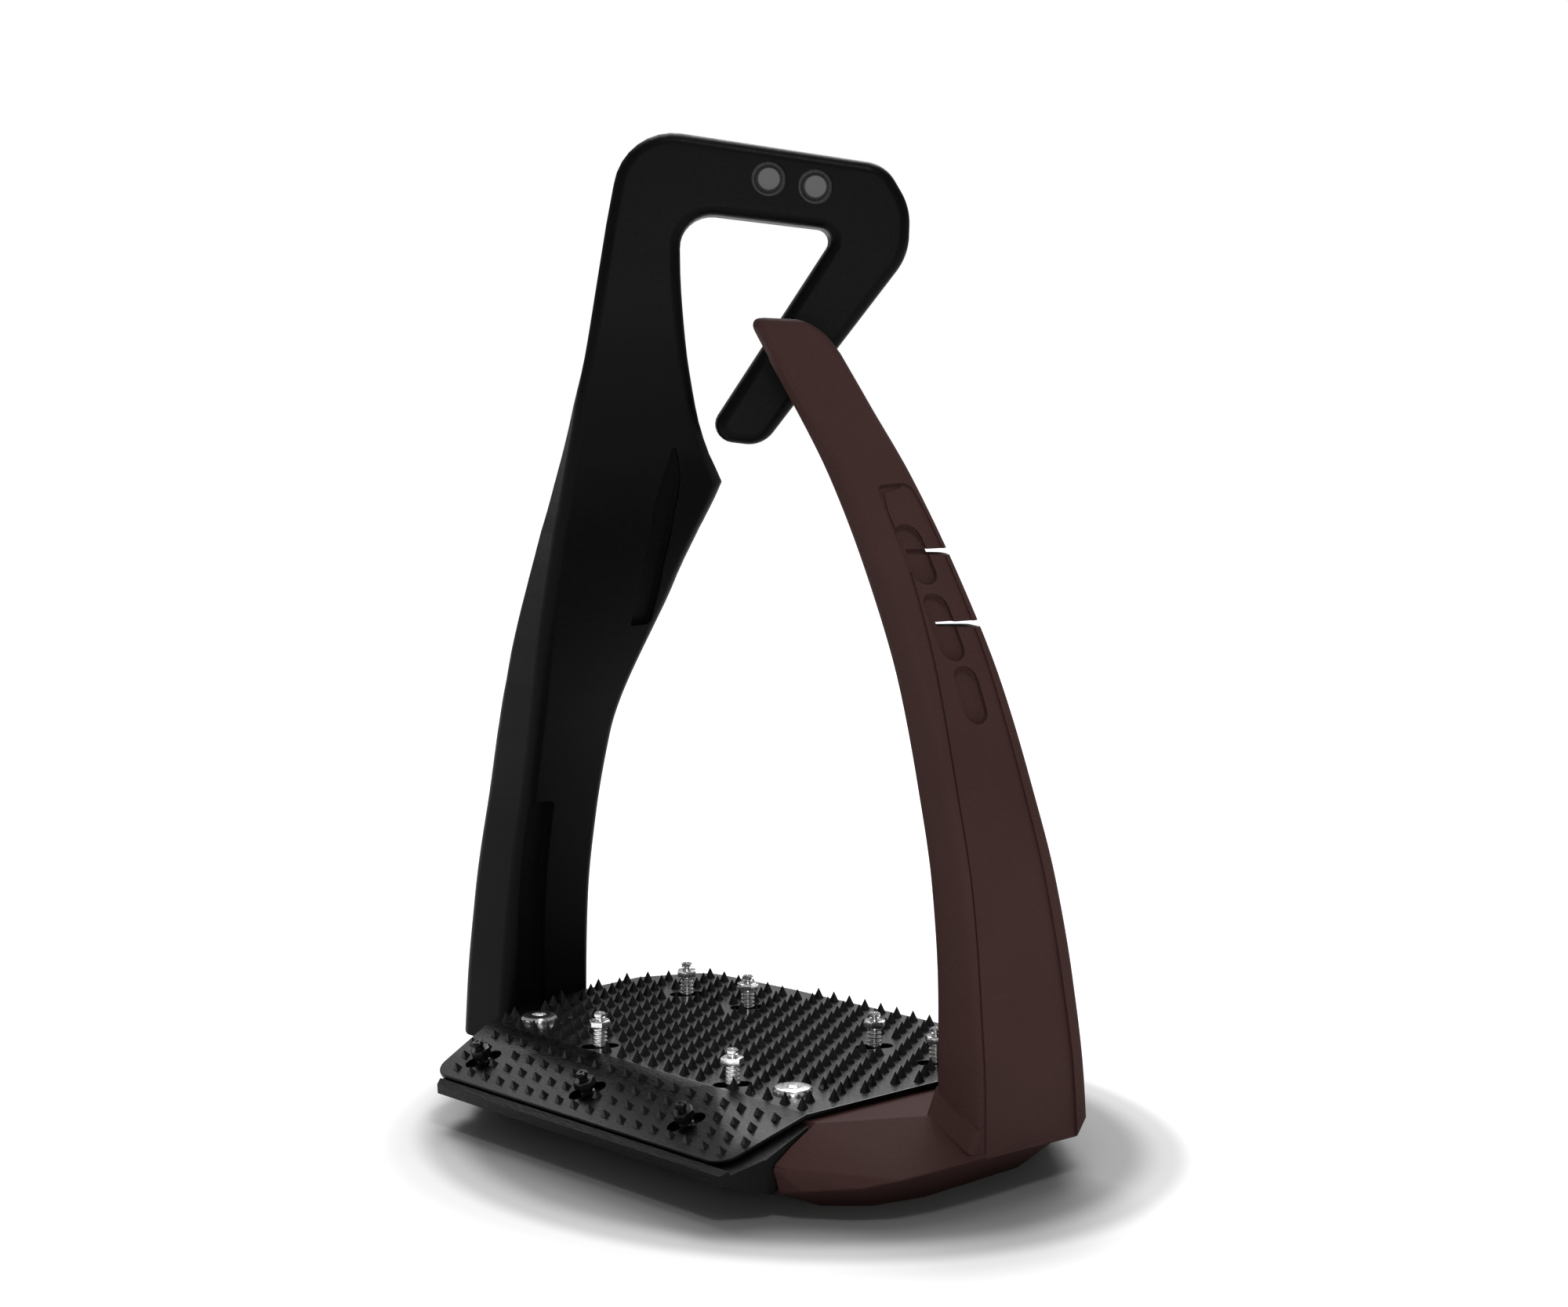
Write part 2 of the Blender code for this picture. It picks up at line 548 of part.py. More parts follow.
def tread_plate():
    """Spiked steel plate with its toe flap bent down."""
    outline, slots = tread_outline(), stud_slots()
    plate = prism("tread_plate", outline, TREAD_HEIGHT - PLATE_THICKNESS, TREAD_HEIGHT)
    bm = bmesh.new()
    for x, y in spike_places(outline, slots):
        place = Matrix.Translation((x * MM, y * MM, (TREAD_HEIGHT + (SPIKE_HEIGHT - 0.2) / 2) * MM))
        bmesh.ops.create_cone(bm, cap_ends=True, segments=4, radius1=SPIKE_WIDTH / math.sqrt(2) * MM, radius2=0,
                              depth=(SPIKE_HEIGHT + 0.2) * MM, matrix=place @ Matrix.Rotation(math.pi / 4, 4, "Z"))
    mesh = bpy.data.meshes.new("spikes")
    bm.to_mesh(mesh)
    bm.free()
    plate = fuse(plate, linked("spikes", mesh))
    for slot in slots:
        plate = cut(plate, prism("slot", slot, TREAD_HEIGHT - 4, TREAD_HEIGHT + 4))
    for x, y in TREAD_SCREWS:
        plate = cut(plate, cylinder("screw_hole", x, y, TREAD_HEIGHT - 4, TREAD_HEIGHT + 4, SCREW_SHANK + 2 * GAP))
    bm = bmesh.new()
    bm.from_mesh(plate.data)
    bmesh.ops.bisect_plane(bm, geom=bm.verts[:] + bm.edges[:] + bm.faces[:], dist=1e-7,
                           plane_co=(0, CREASE_Y * MM, 0), plane_no=(0, 1, 0))
    bm.to_mesh(plate.data)
    bm.free()
    return reshape(plate, bend_flap)


def tread_carrier():
    """Toe strip under the flap, with a lip around the flap's lower edge."""
    top = [bend_flap(0, CREASE_Y - d, TREAD_HEIGHT - PLATE_THICKNESS - GAP)[1:] for d in (1.2, FLAP_LENGTH + 0.3)]
    lip_y, lip_z = bend_flap(0, CREASE_Y - FLAP_LENGTH - 0.3, TREAD_HEIGHT - 0.6)[1:]
    up = (TOE_HIGH - TOE_LOW).normalized()
    clear = TOE_LOW + Vector((-up.y, up.x)) * (GAP + 0.05)
    outline = [top[0], top[1], (lip_y, lip_z), (lip_y - 1.4, lip_z - 0.8), (lip_y - 1.2, lip_z - 2.6),
               (clear.x - 0.8, clear.y - 0.4), tuple(clear), tuple(clear + up * 11.8)]
    end = CARRIER_END - GAP
    strip_piece = flipped(front_prism("tread_carrier", outline, -end, end))
    # Its ends follow the flap's rounded corners.
    for side in (1, -1):
        corner = [(side * (end + 1), -37.5), (side * (end + 1), -55), (side * (end - 9), -55), (side * (end - 3.2), -46.0)]
        strip_piece = cut(strip_piece, prism("corner", corner, -5, 30))
    for x, down in FLAP_STUDS:
        strip_piece = cut(strip_piece, tilted(cylinder("stud_bore", 0, 0, -STUD_DEPTH - GAP, 6, STUD_SHANK + 2 * GAP, sides=12), x, down))
    return strip_piece


def tilted(obj, x, down):
    """Stands a piece, made on the Z axis from the platform's top, on the flap at right angles to it."""
    foot = bend_flap(x, CREASE_Y - down, PLATFORM_TOP)
    place = Matrix.Translation(Vector(foot) * MM) @ Matrix.Rotation(FLAP_SLOPE, 4, "X")
    obj.data.transform(place)
    return obj


def stud(name, low, body, neck, height):
    """A grip stud: threaded shank, hexagon and round tip, on the Z axis from the platform's top."""
    shank = cylinder(name, 0, 0, low, body + 0.2, STUD_SHANK, sides=12)
    hexagon = cylinder("hexagon", 0, 0, body, neck, STUD_HEX, sides=6)
    tip = cylinder("tip", 0, 0, neck - 0.2, height, STUD_TIP, sides=12)
    return fuse(shank, hexagon, tip)


def grip_stud(name, x, y):
    over = TREAD_HEIGHT - PLATFORM_TOP
    obj = stud(name, -STUD_DEPTH, over + 1.9, over + 4.3, over + STUD_HEIGHT)
    obj.data.transform(Matrix.Translation((x * MM, y * MM, PLATFORM_TOP * MM)))
    return obj


def flap_stud(name, x, down):
    over = TREAD_HEIGHT - PLATFORM_TOP
    return tilted(stud(name, -STUD_DEPTH, over + 0.4, over + 2.6, over + 4.2), x, down)


def tread_screw(name, x, y):
    low = TREAD_HEIGHT + GAP
    r = SCREW_HEAD / 2
    head = low + SCREW_HEAD_HEIGHT
    profile = [(0, head - 0.5), (1.6, head - 0.5), (1.9, head), (r - 0.9, head), (r, head - 0.8), (r, low),
               (SCREW_SHANK / 2, low), (SCREW_SHANK / 2, low - SCREW_LENGTH), (0, low - SCREW_LENGTH)]
    obj = turned(name, profile)
    obj.data.transform(Matrix.Translation((x * MM, y * MM, 0)))
    return obj


def tread_insert(name, x, y):
    """Threaded insert in the platform."""
    top = PLATFORM_TOP - GAP
    outer, bore = INSERT_DIAMETER / 2, SCREW_SHANK / 2 + GAP
    tube = cylinder(name, x, y, top - INSERT_LENGTH, top, 2 * outer)
    return cut(tube, cylinder("bore", x, y, top - INSERT_LENGTH - 1, top + 1, 2 * bore))


def sole_screw(name, x, y):
    """Screw from below, through the shell into the platform."""
    r, shank = SOLE_SCREW_HEAD / 2, SOLE_SCREW_SHANK / 2
    profile = [(0, PLATFORM_TOP - 2.5), (shank, PLATFORM_TOP - 2.5), (shank, 2.6), (r, 2.6), (r, 0.9), (r - 0.6, 0.6),
               (1.6, 0.6), (1.6, 1.4), (0, 1.4)]
    obj = turned(name, profile)
    obj.data.transform(Matrix.Translation((x * MM, y * MM, 0)))
    return obj


def stud_bore(x, y):
    return cylinder("bore", x, y, PLATFORM_TOP - STUD_DEPTH - GAP, 30, STUD_SHANK + 2 * GAP, sides=12)


def drill_platform(branch):
    """Bores in the platform for studs, screws and inserts."""
    for x, y in GRIP_STUDS:
        branch = cut(branch, stud_bore(x, y))
    for x, y in TREAD_SCREWS:
        branch = cut(branch, cylinder("bore", x, y, PLATFORM_TOP - INSERT_LENGTH - 2 * GAP, 20, INSERT_DIAMETER + 2 * GAP),
                     cylinder("end", x, y, TREAD_HEIGHT - SCREW_LENGTH - GAP, 20, SCREW_SHANK + 2 * GAP))
    for x, y in ROOT_SCREWS + SOLE_SCREWS:
        branch = cut(branch, cylinder("bore", x, y, 0, PLATFORM_TOP - 2.5 + GAP, SOLE_SCREW_SHANK + 2 * GAP))
    return branch


# Outer branch. -----------------------------------------------------------------------------
FACE = value_at(OUTER_PLATE, 0)
BRANCH_LOW = SEAT_HEIGHT + GAP


def outer_edges(margin, low, high, step=6):
    """Both edges of the outer branch's flat outline, moved in by margin."""
    heights = [low + (high - low) * k / round((high - low) / step) for k in range(round((high - low) / step) + 1)]
    toe = [(-value_at(OUTER_WIDTH, h) / 2 + margin, h) for h in heights]
    return toe, [(-s, h) for s, h in reversed(toe)]


def outer_branch_core():
    """Inner half of the flexible branch: it holds the blade and carries the cover."""
    toe, heel = outer_edges(0, BRANCH_LOW, 144)
    tip = rounded([(-6.3, 146, 0), (-6.2, OUTER_TOP, 2.2), (4.6, OUTER_TOP - 0.6, 4.0), (6.4, 147, 1.5)])
    core = prism("outer_branch_core", toe + tip + heel, -FACE, 0, OUTER_EDGE_BEVEL, 2)
    toe, heel = outer_edges(COVER_RIDGE, BRANCH_LOW - 5, COVER_TOP - 5)
    arch = [(s * math.cos(a), COVER_TOP - 5 + 5 * math.sin(a))
            for s in [value_at(OUTER_WIDTH, COVER_TOP) / 2 - COVER_RIDGE] for a in [math.pi * (1 - k / 6) for k in range(1, 6)]]
    core = cut(core, prism("cover_seat", toe + arch + heel, -COVER_THICKNESS - GAP, 5))
    half = BLADE_WIDTH / 2 + GAP
    channel = [(-half, BRANCH_LOW - 5), (half, BRANCH_LOW - 5), (half * 0.75, BLADE_TOP + GAP), (-half * 0.75, BLADE_TOP + GAP)]
    core = cut(core, prism("channel", channel, -COVER_THICKNESS - BLADE_THICKNESS - 2 * GAP, 5))
    core = cut(core, *[slit(h) for h in SLIT_HEIGHTS])
    return reshape(core, outer_place, axis=1)


def slit(height):
    return box("slit", (SLIT_END, height - SLIT_WIDTH / 2, -20), (30, height + SLIT_WIDTH / 2, 20))


def outer_branch_cover():
    """Outer face of the flexible branch, with its relief slits and finger pockets."""
    toe, heel = outer_edges(COVER_RIDGE + GAP, BRANCH_LOW, COVER_TOP - 5.3)
    arch = [(s * math.cos(a), COVER_TOP - 5.3 + 5 * math.sin(a))
            for s in [value_at(OUTER_WIDTH, COVER_TOP) / 2 - COVER_RIDGE - GAP] for a in [math.pi * (1 - k / 6) for k in range(1, 6)]]
    cover = prism("outer_branch_cover", toe + arch + heel, -COVER_THICKNESS, 0, 0.4)
    cover = cut(cover, *[slit(h) for h in SLIT_HEIGHTS])
    for height, length in POCKETS:
        pocket = obround(0.6, height, length, POCKET_WIDTH, math.pi / 2)
        cover = cut(cover, prism("pocket", pocket, -POCKET_DEPTH, 5))
    return reshape(cover, outer_place, axis=1)


def spring_blade():
    """Spring leaf inside the flexible branch."""
    half = BLADE_WIDTH / 2
    outline = [(-half, BRANCH_LOW + 0.3), (half, BRANCH_LOW + 0.3), (half * 0.75, BLADE_TOP), (-half * 0.75, BLADE_TOP)]
    low = -COVER_THICKNESS - GAP - BLADE_THICKNESS
    return reshape(prism("spring_blade", outline, low, low + BLADE_THICKNESS), outer_place, axis=1)


# Assembly. ---------------------------------------------------------------------------------
finish(drill_platform(flipped(inner_branch())), BLACK, 0.55)
finish(flipped(reshape(strip("eye_strip", 0), inner_place, axis=1)), STEEL, 0.4, 1.0)
finish(base_shell(), BROWN, 0.5)
finish(tread_carrier(), BLACK, 0.45)
finish(tread_plate(), BLACK, 0.35, 0.6)
finish(flipped(outer_branch_core()), BROWN, 0.5)
finish(flipped(outer_branch_cover()), BROWN, 0.5)
finish(flipped(spring_blade()), STEEL, 0.3, 1.0)
root = blade_root("blade_root", 0)
for n, (x, y) in enumerate(ROOT_SCREWS):
    root = cut(root, cylinder("hole", x, y, 0, 12, SOLE_SCREW_SHANK + 2 * GAP))
    finish(sole_screw(f"root_screw_{n + 1}", x, y), STEEL, 0.3, 1.0)
finish(root, STEEL, 0.3, 1.0)
for n, (x, y) in enumerate(SOLE_SCREWS):
    finish(sole_screw(f"sole_screw_{n + 1}", x, y), STEEL, 0.3, 1.0)
for n, (x, y) in enumerate(TREAD_SCREWS):
    finish(tread_screw(f"tread_screw_{n + 1}", x, y), STEEL, 0.3, 1.0)
    finish(tread_insert(f"tread_insert_{n + 1}", x, y), BRASS, 0.35, 1.0)
for n, (x, y) in enumerate(GRIP_STUDS):
    finish(grip_stud(f"grip_stud_{n + 1}", x, y), STEEL, 0.25, 1.0)
for n, (x, down) in enumerate(FLAP_STUDS):
    finish(flap_stud(f"flap_stud_{n + 1}", x, down), BLACK, 0.4, 0.5)

print("nodes", len(parts.objects))
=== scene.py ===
import math
import bmesh
import bpy
from mathutils import Matrix, Vector


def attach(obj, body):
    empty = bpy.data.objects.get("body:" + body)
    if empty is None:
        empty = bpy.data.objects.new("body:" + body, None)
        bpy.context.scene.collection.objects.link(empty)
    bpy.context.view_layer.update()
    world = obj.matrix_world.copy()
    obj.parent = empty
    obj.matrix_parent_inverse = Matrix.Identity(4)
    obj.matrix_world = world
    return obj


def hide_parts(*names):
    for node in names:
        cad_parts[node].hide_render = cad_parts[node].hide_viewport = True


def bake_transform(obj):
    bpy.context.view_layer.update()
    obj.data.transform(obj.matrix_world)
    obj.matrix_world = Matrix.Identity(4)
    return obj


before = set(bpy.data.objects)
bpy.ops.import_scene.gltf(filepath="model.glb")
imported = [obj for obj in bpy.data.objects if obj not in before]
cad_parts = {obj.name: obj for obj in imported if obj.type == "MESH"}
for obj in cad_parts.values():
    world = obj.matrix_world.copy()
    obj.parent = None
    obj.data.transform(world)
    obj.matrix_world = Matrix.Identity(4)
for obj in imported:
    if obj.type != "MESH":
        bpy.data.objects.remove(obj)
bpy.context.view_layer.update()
mm = 0.001      # shapes are drawn in millimetres

# ---- how the two branches run: (height, value)
inner = {
    "reach": [(0, -65.0), (18, -64.2), (36, -62.0), (54, -57.5), (71, -50.5), (89, -40.0), (106, -27.5),
              (118, -17.5), (128, -10.0), (140, -3.5), (150, -0.8), (160, 0.0), (200, 0.0)],
    "plate": [(0, 15.4), (18, 15.4), (60, 14.2), (120, 11.5), (160, 11.0), (200, 11.0)],
    "toe": [(0, -18.0), (18, -17.2), (36, -16.7), (54, -17.0), (71, -19.4), (80, -22.5), (89, -26.6),
            (98, -30.3), (106, -32.9), (114, -34.6), (122, -35.1), (134, -34.1),
            (147, -31.5), (160, -29.2), (176, -26.4)],
    "heel": [(0, 4.8), (18, 4.4), (36, 3.5), (54, 2.6), (71, 1.0), (89, -1.7), (98, -3.4), (106, -5.0),
             (112, -5.3), (121.6, -4.4)],
    "post": [(121.6, -4.4), (128, -8.6), (134, -11.0), (140, -12.3), (147, -13.3), (160, -14.2),
             (172, -14.4)],
    "eye": [(-26.9, 172.0, 0), (-24.3, 186.9, 11.0), (23.4, 179.7, 7.0), (27.9, 172.0, 11.0),
            (27.6, 163.2, 11.0), (0.6, 128.6, 5.6), (-10.2, 130.0, 3.2), (14.9, 167.8, 2.2),
            (-14.3, 171.4, 6.0), (-14.2, 160, 0)],
    "thick": 11.0, "foot": 7.4, "eyeTurn": 40.0, "turnFrom": 70.0, "turnTo": 150.0, "hookLow": 124.0,
    "round": 3.3, "toeTop": 169, "postRun": (124, 160), "notch": 121.6, "heelTop": 118.5,
    "uncut": 500,      # slices this far apart cut nothing
    "holes": [(2.0, 177.1), (10.5, 175.7)], "hole": 6.4, "holeDepth": 2.6, "slice": 2.0,
}
outer = {
    "x": [(0, 59.6), (18, 59.0), (36, 58.3), (54, 56.6), (71, 53.3), (89, 48.5), (106, 41.7), (124, 32.4),
          (137, 23.6), (146, 17.3), (152, 13.2)],
    "y": [(0, 5.0), (18, 4.8), (36, 4.0), (54, 2.8), (71, 1.4), (89, 0.0), (106, -1.5), (124, -3.1),
          (137, -4.3), (146, -5.2), (152, -5.8)],
    "turn": [(0, 0.0), (18, 0.0), (36, 4.5), (54, 9.0), (71, 13.5), (89, 20.0), (106, 26.0), (124, 29.5),
             (152, 30.0)],
    "plate": [(0, 10.8), (18, 10.8), (36, 9.9), (71, 8.2), (106, 6.6), (137, 5.1), (152, 4.6)],
    "width": [(0, 29.4), (18, 28.2), (36, 24.8), (54, 21.9), (71, 19.5), (89, 17.2), (106, 15.4), (124, 13.9),
              (137, 13.1), (152, 13.0)],
    "tip": [(-6.3, 145, 0), (-6.2, 152, 2.4), (5.4, 151.4, 5.0), (6.5, 145.5, 0)], "tipFrom": 144,
    "heelFoot": (10.3, 2.7, 1.8, 0.9),      # lowest heel point, set in, down at heel, down at toe
    "low": 9.0, "toeTurn": 4.6, "toeSet": 1.2, "face": 10.8, "fixed": 4.5, "round": 1.7, "slice": 2.0,
    "panelTop": 122.5, "panelDepth": 0.55, "grooveWidth": 0.7, "grooveDepth": 0.85,
    "rim": [(5, 1.3), (35, 1.7), (52, 2.3), (69, 2.9), (82, 3.7), (96, 4.9), (109, 5.9), (130, 6.1)],
    "rail": [(5, 3.6), (40, 3.3), (80, 2.3), (108, 1.2), (130, 0.9)],
    "slits": [(98.6, 0.4, 0.2), (111.0, 3.8, -0.2)], "slitWidth": 1.1,
    "pockets": [(86.6, 10.0, 1.7), (98.2, 11.6, 1.0), (110.6, 10.4, 1.2)],
    "pocketWidth": 4.6, "pocketDepth": 1.9,
    "blade": (13.0, 2.9, 1.3, 94.0),
}


# ---- drawing and shaping
def valueAt(stations, height):
    # smooth value through the stations, level where they turn
    last = len(stations) - 2
    i = max([k for k in range(last + 1) if stations[k][0] <= height] or [0])

    def slope(k):
        rise = [(stations[j + 1][1] - stations[j][1]) / (stations[j + 1][0] - stations[j][0])
                for j in (max(k - 1, 0), min(k, last))]
        return 0.0 if rise[0] * rise[1] <= 0 else 2 * rise[0] * rise[1] / (rise[0] + rise[1])

    span = stations[i + 1][0] - stations[i][0]
    t = (height - stations[i][0]) / span
    return ((2 * t**3 - 3 * t**2 + 1) * stations[i][1] + (t**3 - 2 * t**2 + t) * span * slope(i)
            + (3 * t**2 - 2 * t**3) * stations[i + 1][1] + (t**3 - t**2) * span * slope(i + 1))


def rounded(corners, steps=8):
    # outline through (x, y, radius) corners
    points = []
    for i, (x, y, radius) in enumerate(corners):
        here = Vector((x, y))
        if radius == 0:
            points.append((x, y))
            continue
        before = (Vector(corners[i - 1][:2]) - here).normalized()
        after = (Vector(corners[(i + 1) % len(corners)][:2]) - here).normalized()
        half = before.angle(after) / 2
        reach = radius / math.tan(half)
        middle = here + (before + after).normalized() * (radius / math.sin(half))
        first, final = [(here + way * reach - middle).normalized() for way in (before, after)]
        points += [tuple(middle + first.slerp(final, k / steps) * radius) for k in range(steps + 1)]
    return points


def obround(x, y, length, width, turn, steps=8):
    points = []
    for side in (0, 1):
        for k in range(steps + 1):
            a = math.pi * (k / steps - 0.5 + side)
            end = (1 - 2 * side) * (length - width) / 2
            points.append((end + math.cos(a) * width / 2, math.sin(a) * width / 2))
    c, s = math.cos(turn), math.sin(turn)
    return [(x + px * c - py * s, y + px * s + py * c) for px, py in points]


def slab(outline, low, high, edge=0.0, segments=3):
    # an outline extruded from low to high, its rims rounded
    bm = bmesh.new()
    face = bm.faces.new([bm.verts.new((x, y, low)) for x, y in outline])
    made = bmesh.ops.extrude_face_region(bm, geom=[face])
    raised = [g for g in made["geom"] if isinstance(g, bmesh.types.BMVert)]
    bmesh.ops.translate(bm, verts=raised, vec=(0, 0, high - low))
    bmesh.ops.recalc_face_normals(bm, faces=bm.faces)
    if edge:
        rims = [e for e in bm.edges if abs(e.verts[0].co.z - e.verts[1].co.z) < 1e-6]
        bmesh.ops.bevel(bm, geom=rims, offset=edge, segments=segments, profile=0.5, affect="EDGES",
                        material=-1, clamp_overlap=True)
    return bm


def block(low, high):
    bm = bmesh.new()
    bmesh.ops.create_cube(bm, size=1)
    bmesh.ops.scale(bm, vec=[b - a for a, b in zip(low, high)], verts=bm.verts)
    bmesh.ops.translate(bm, vec=[(a + b) / 2 for a, b in zip(low, high)], verts=bm.verts)
    return bm


def pin(x, y, low, high, diameter, sides=32):
    bm = bmesh.new()
    place = Matrix.Translation((x, y, (low + high) / 2))
    bmesh.ops.create_cone(bm, cap_ends=True, segments=sides, radius1=diameter / 2, radius2=diameter / 2,
                          depth=high - low, matrix=place)
    return bm


def turned(profile, sides=32):
    # a profile of (radius, height) spun round Z; it starts and ends on the axis
    bm = bmesh.new()
    verts = [bm.verts.new((r, 0, z)) for r, z in profile]
    edges = [bm.edges.new(pair) for pair in zip(verts, verts[1:])]
    bmesh.ops.spin(bm, geom=verts + edges, cent=(0, 0, 0), axis=(0, 0, 1), angle=2 * math.pi, steps=sides,
                   use_merge=True)
    bmesh.ops.remove_doubles(bm, verts=bm.verts, dist=1e-4)
    bmesh.ops.recalc_face_normals(bm, faces=bm.faces)
    return bm


def added(bm, *others):
    # puts more shapes into one mesh
    for other in others:
        mesh = bpy.data.meshes.new("part")
        other.to_mesh(mesh)
        other.free()
        bm.from_mesh(mesh)
        bpy.data.meshes.remove(mesh)
    return bm


def carve(bm, tool, operation="DIFFERENCE"):
    pair = []
    for shape in (bm, tool):
        mesh = bpy.data.meshes.new("part")
        shape.to_mesh(mesh)
        shape.free()
        pair.append(bpy.data.objects.new("part", mesh))
        bpy.context.scene.collection.objects.link(pair[-1])
    modifier = pair[0].modifiers.new("carve", "BOOLEAN")
    modifier.operation, modifier.solver, modifier.object = operation, "EXACT", pair[1]
    bpy.context.view_layer.update()
    mesh = bpy.data.meshes.new_from_object(pair[0].evaluated_get(bpy.context.evaluated_depsgraph_get()))
    result = bmesh.new()
    result.from_mesh(mesh)
    bpy.data.meshes.remove(mesh)
    for obj in pair:
        mesh = obj.data
        bpy.data.objects.remove(obj, do_unlink=True)
        bpy.data.meshes.remove(mesh)
    return result


def bend(bm, place, every, axis=1):
    # slices a flat shape across an axis, then moves each point by place
    across = Vector([float(k == axis) for k in range(3)])
    heights = [v.co[axis] for v in bm.verts]
    level = (math.floor(min(heights) / every) + 1) * every
    while level < max(heights):
        bmesh.ops.bisect_plane(bm, geom=bm.verts[:] + bm.edges[:] + bm.faces[:], dist=1e-4,
                               plane_co=across * level, plane_no=across)
        level += every
    for v in bm.verts:
        v.co = place(*v.co)
    bmesh.ops.remove_doubles(bm, verts=bm.verts, dist=0.004)
    bmesh.ops.dissolve_degenerate(bm, edges=bm.edges, dist=0.004)
    bmesh.ops.recalc_face_normals(bm, faces=bm.faces)
    return bm


def hullOf(points, edge, segments=3):
    # the hull round some points; only its firm edges are rounded, shallow ones shade over
    bm = bmesh.new()
    for point in points:
        bm.verts.new(point)
    made = bmesh.ops.convex_hull(bm, input=bm.verts)
    spare = made["geom_interior"] + made["geom_unused"]
    inside = list({g for g in spare if isinstance(g, bmesh.types.BMVert)})
    bmesh.ops.delete(bm, geom=inside, context="VERTS")
    bmesh.ops.dissolve_limit(bm, angle_limit=math.radians(1), verts=bm.verts, edges=bm.edges)
    firm = [e for e in bm.edges if e.calc_face_angle() > math.radians(16)]
    bmesh.ops.bevel(bm, geom=firm, offset=edge, segments=segments, profile=0.5, affect="EDGES",
                    material=-1, clamp_overlap=True)
    bmesh.ops.remove_doubles(bm, verts=bm.verts, dist=0.002)
    return bm


def lengthways(bm):
    # turns a slab drawn as (y, z) so that it runs along X
    for v in bm.verts:
        v.co = Vector((v.co.z, v.co.x, v.co.y))
    bmesh.ops.recalc_face_normals(bm, faces=bm.faces)
    return bm


def finishPiece(bm, name, material, nodes, body="frame", smooth=30, weighted=True):
    bmesh.ops.scale(bm, vec=(mm, mm, mm), verts=bm.verts)
    mesh = bpy.data.meshes.new(name)
    bm.to_mesh(mesh)
    bm.free()
    obj = bpy.data.objects.new(name, mesh)
    bpy.context.scene.collection.objects.link(obj)
    mesh.materials.append(material)
    mesh.shade_smooth()
    mesh.set_sharp_from_angle(angle=math.radians(smooth))
    if weighted:
        modifier = obj.modifiers.new("evenShading", "WEIGHTED_NORMAL")
        modifier.keep_sharp = True
    if body:
        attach(obj, body)
    if nodes:
        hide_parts(*nodes)
    return obj


def placeInner(s, height, n):
    t = min(max((height - inner["turnFrom"]) / (inner["turnTo"] - inner["turnFrom"]), 0), 1)
    middle = valueAt(inner["reach"], height)
    if height > inner["hookLow"] and s > valueAt(inner["post"], height) + 0.3:
        t, middle = 1, 0       # the hook stays flat in the eye's own plane
    turn = math.radians(inner["eyeTurn"] * t * t * (3 - 2 * t))
    reach = middle + n * valueAt(inner["plate"], height) / inner["thick"]
    return Vector((s * math.sin(turn) + reach * math.cos(turn), s * math.cos(turn) - reach * math.sin(turn),
                   height))


def placeOuter(s, height, n):
    turn = math.radians(valueAt(outer["turn"], height))
    plate = valueAt(outer["plate"], height)
    if n < -outer["fixed"]:
        share = (plate - outer["fixed"]) / (outer["face"] - outer["fixed"])
        n = -outer["fixed"] + (n + outer["fixed"]) * share
    out = n + plate / 2
    return Vector((valueAt(outer["x"], height) + s * math.sin(turn) + out * math.cos(turn),
                   valueAt(outer["y"], height) + s * math.cos(turn) - out * math.sin(turn), height))


# ---- materials
def shaderNodes(name, color, roughness, metallic=0.0):
    material = bpy.data.materials.new(name)
    material.use_nodes = True
    nodes, links = material.node_tree.nodes, material.node_tree.links
    shader = nodes["Principled BSDF"]
    shader.inputs["Base Color"].default_value = (*color, 1)
    shader.inputs["Roughness"].default_value = roughness
    shader.inputs["Metallic"].default_value = metallic
    return material, nodes, links, shader


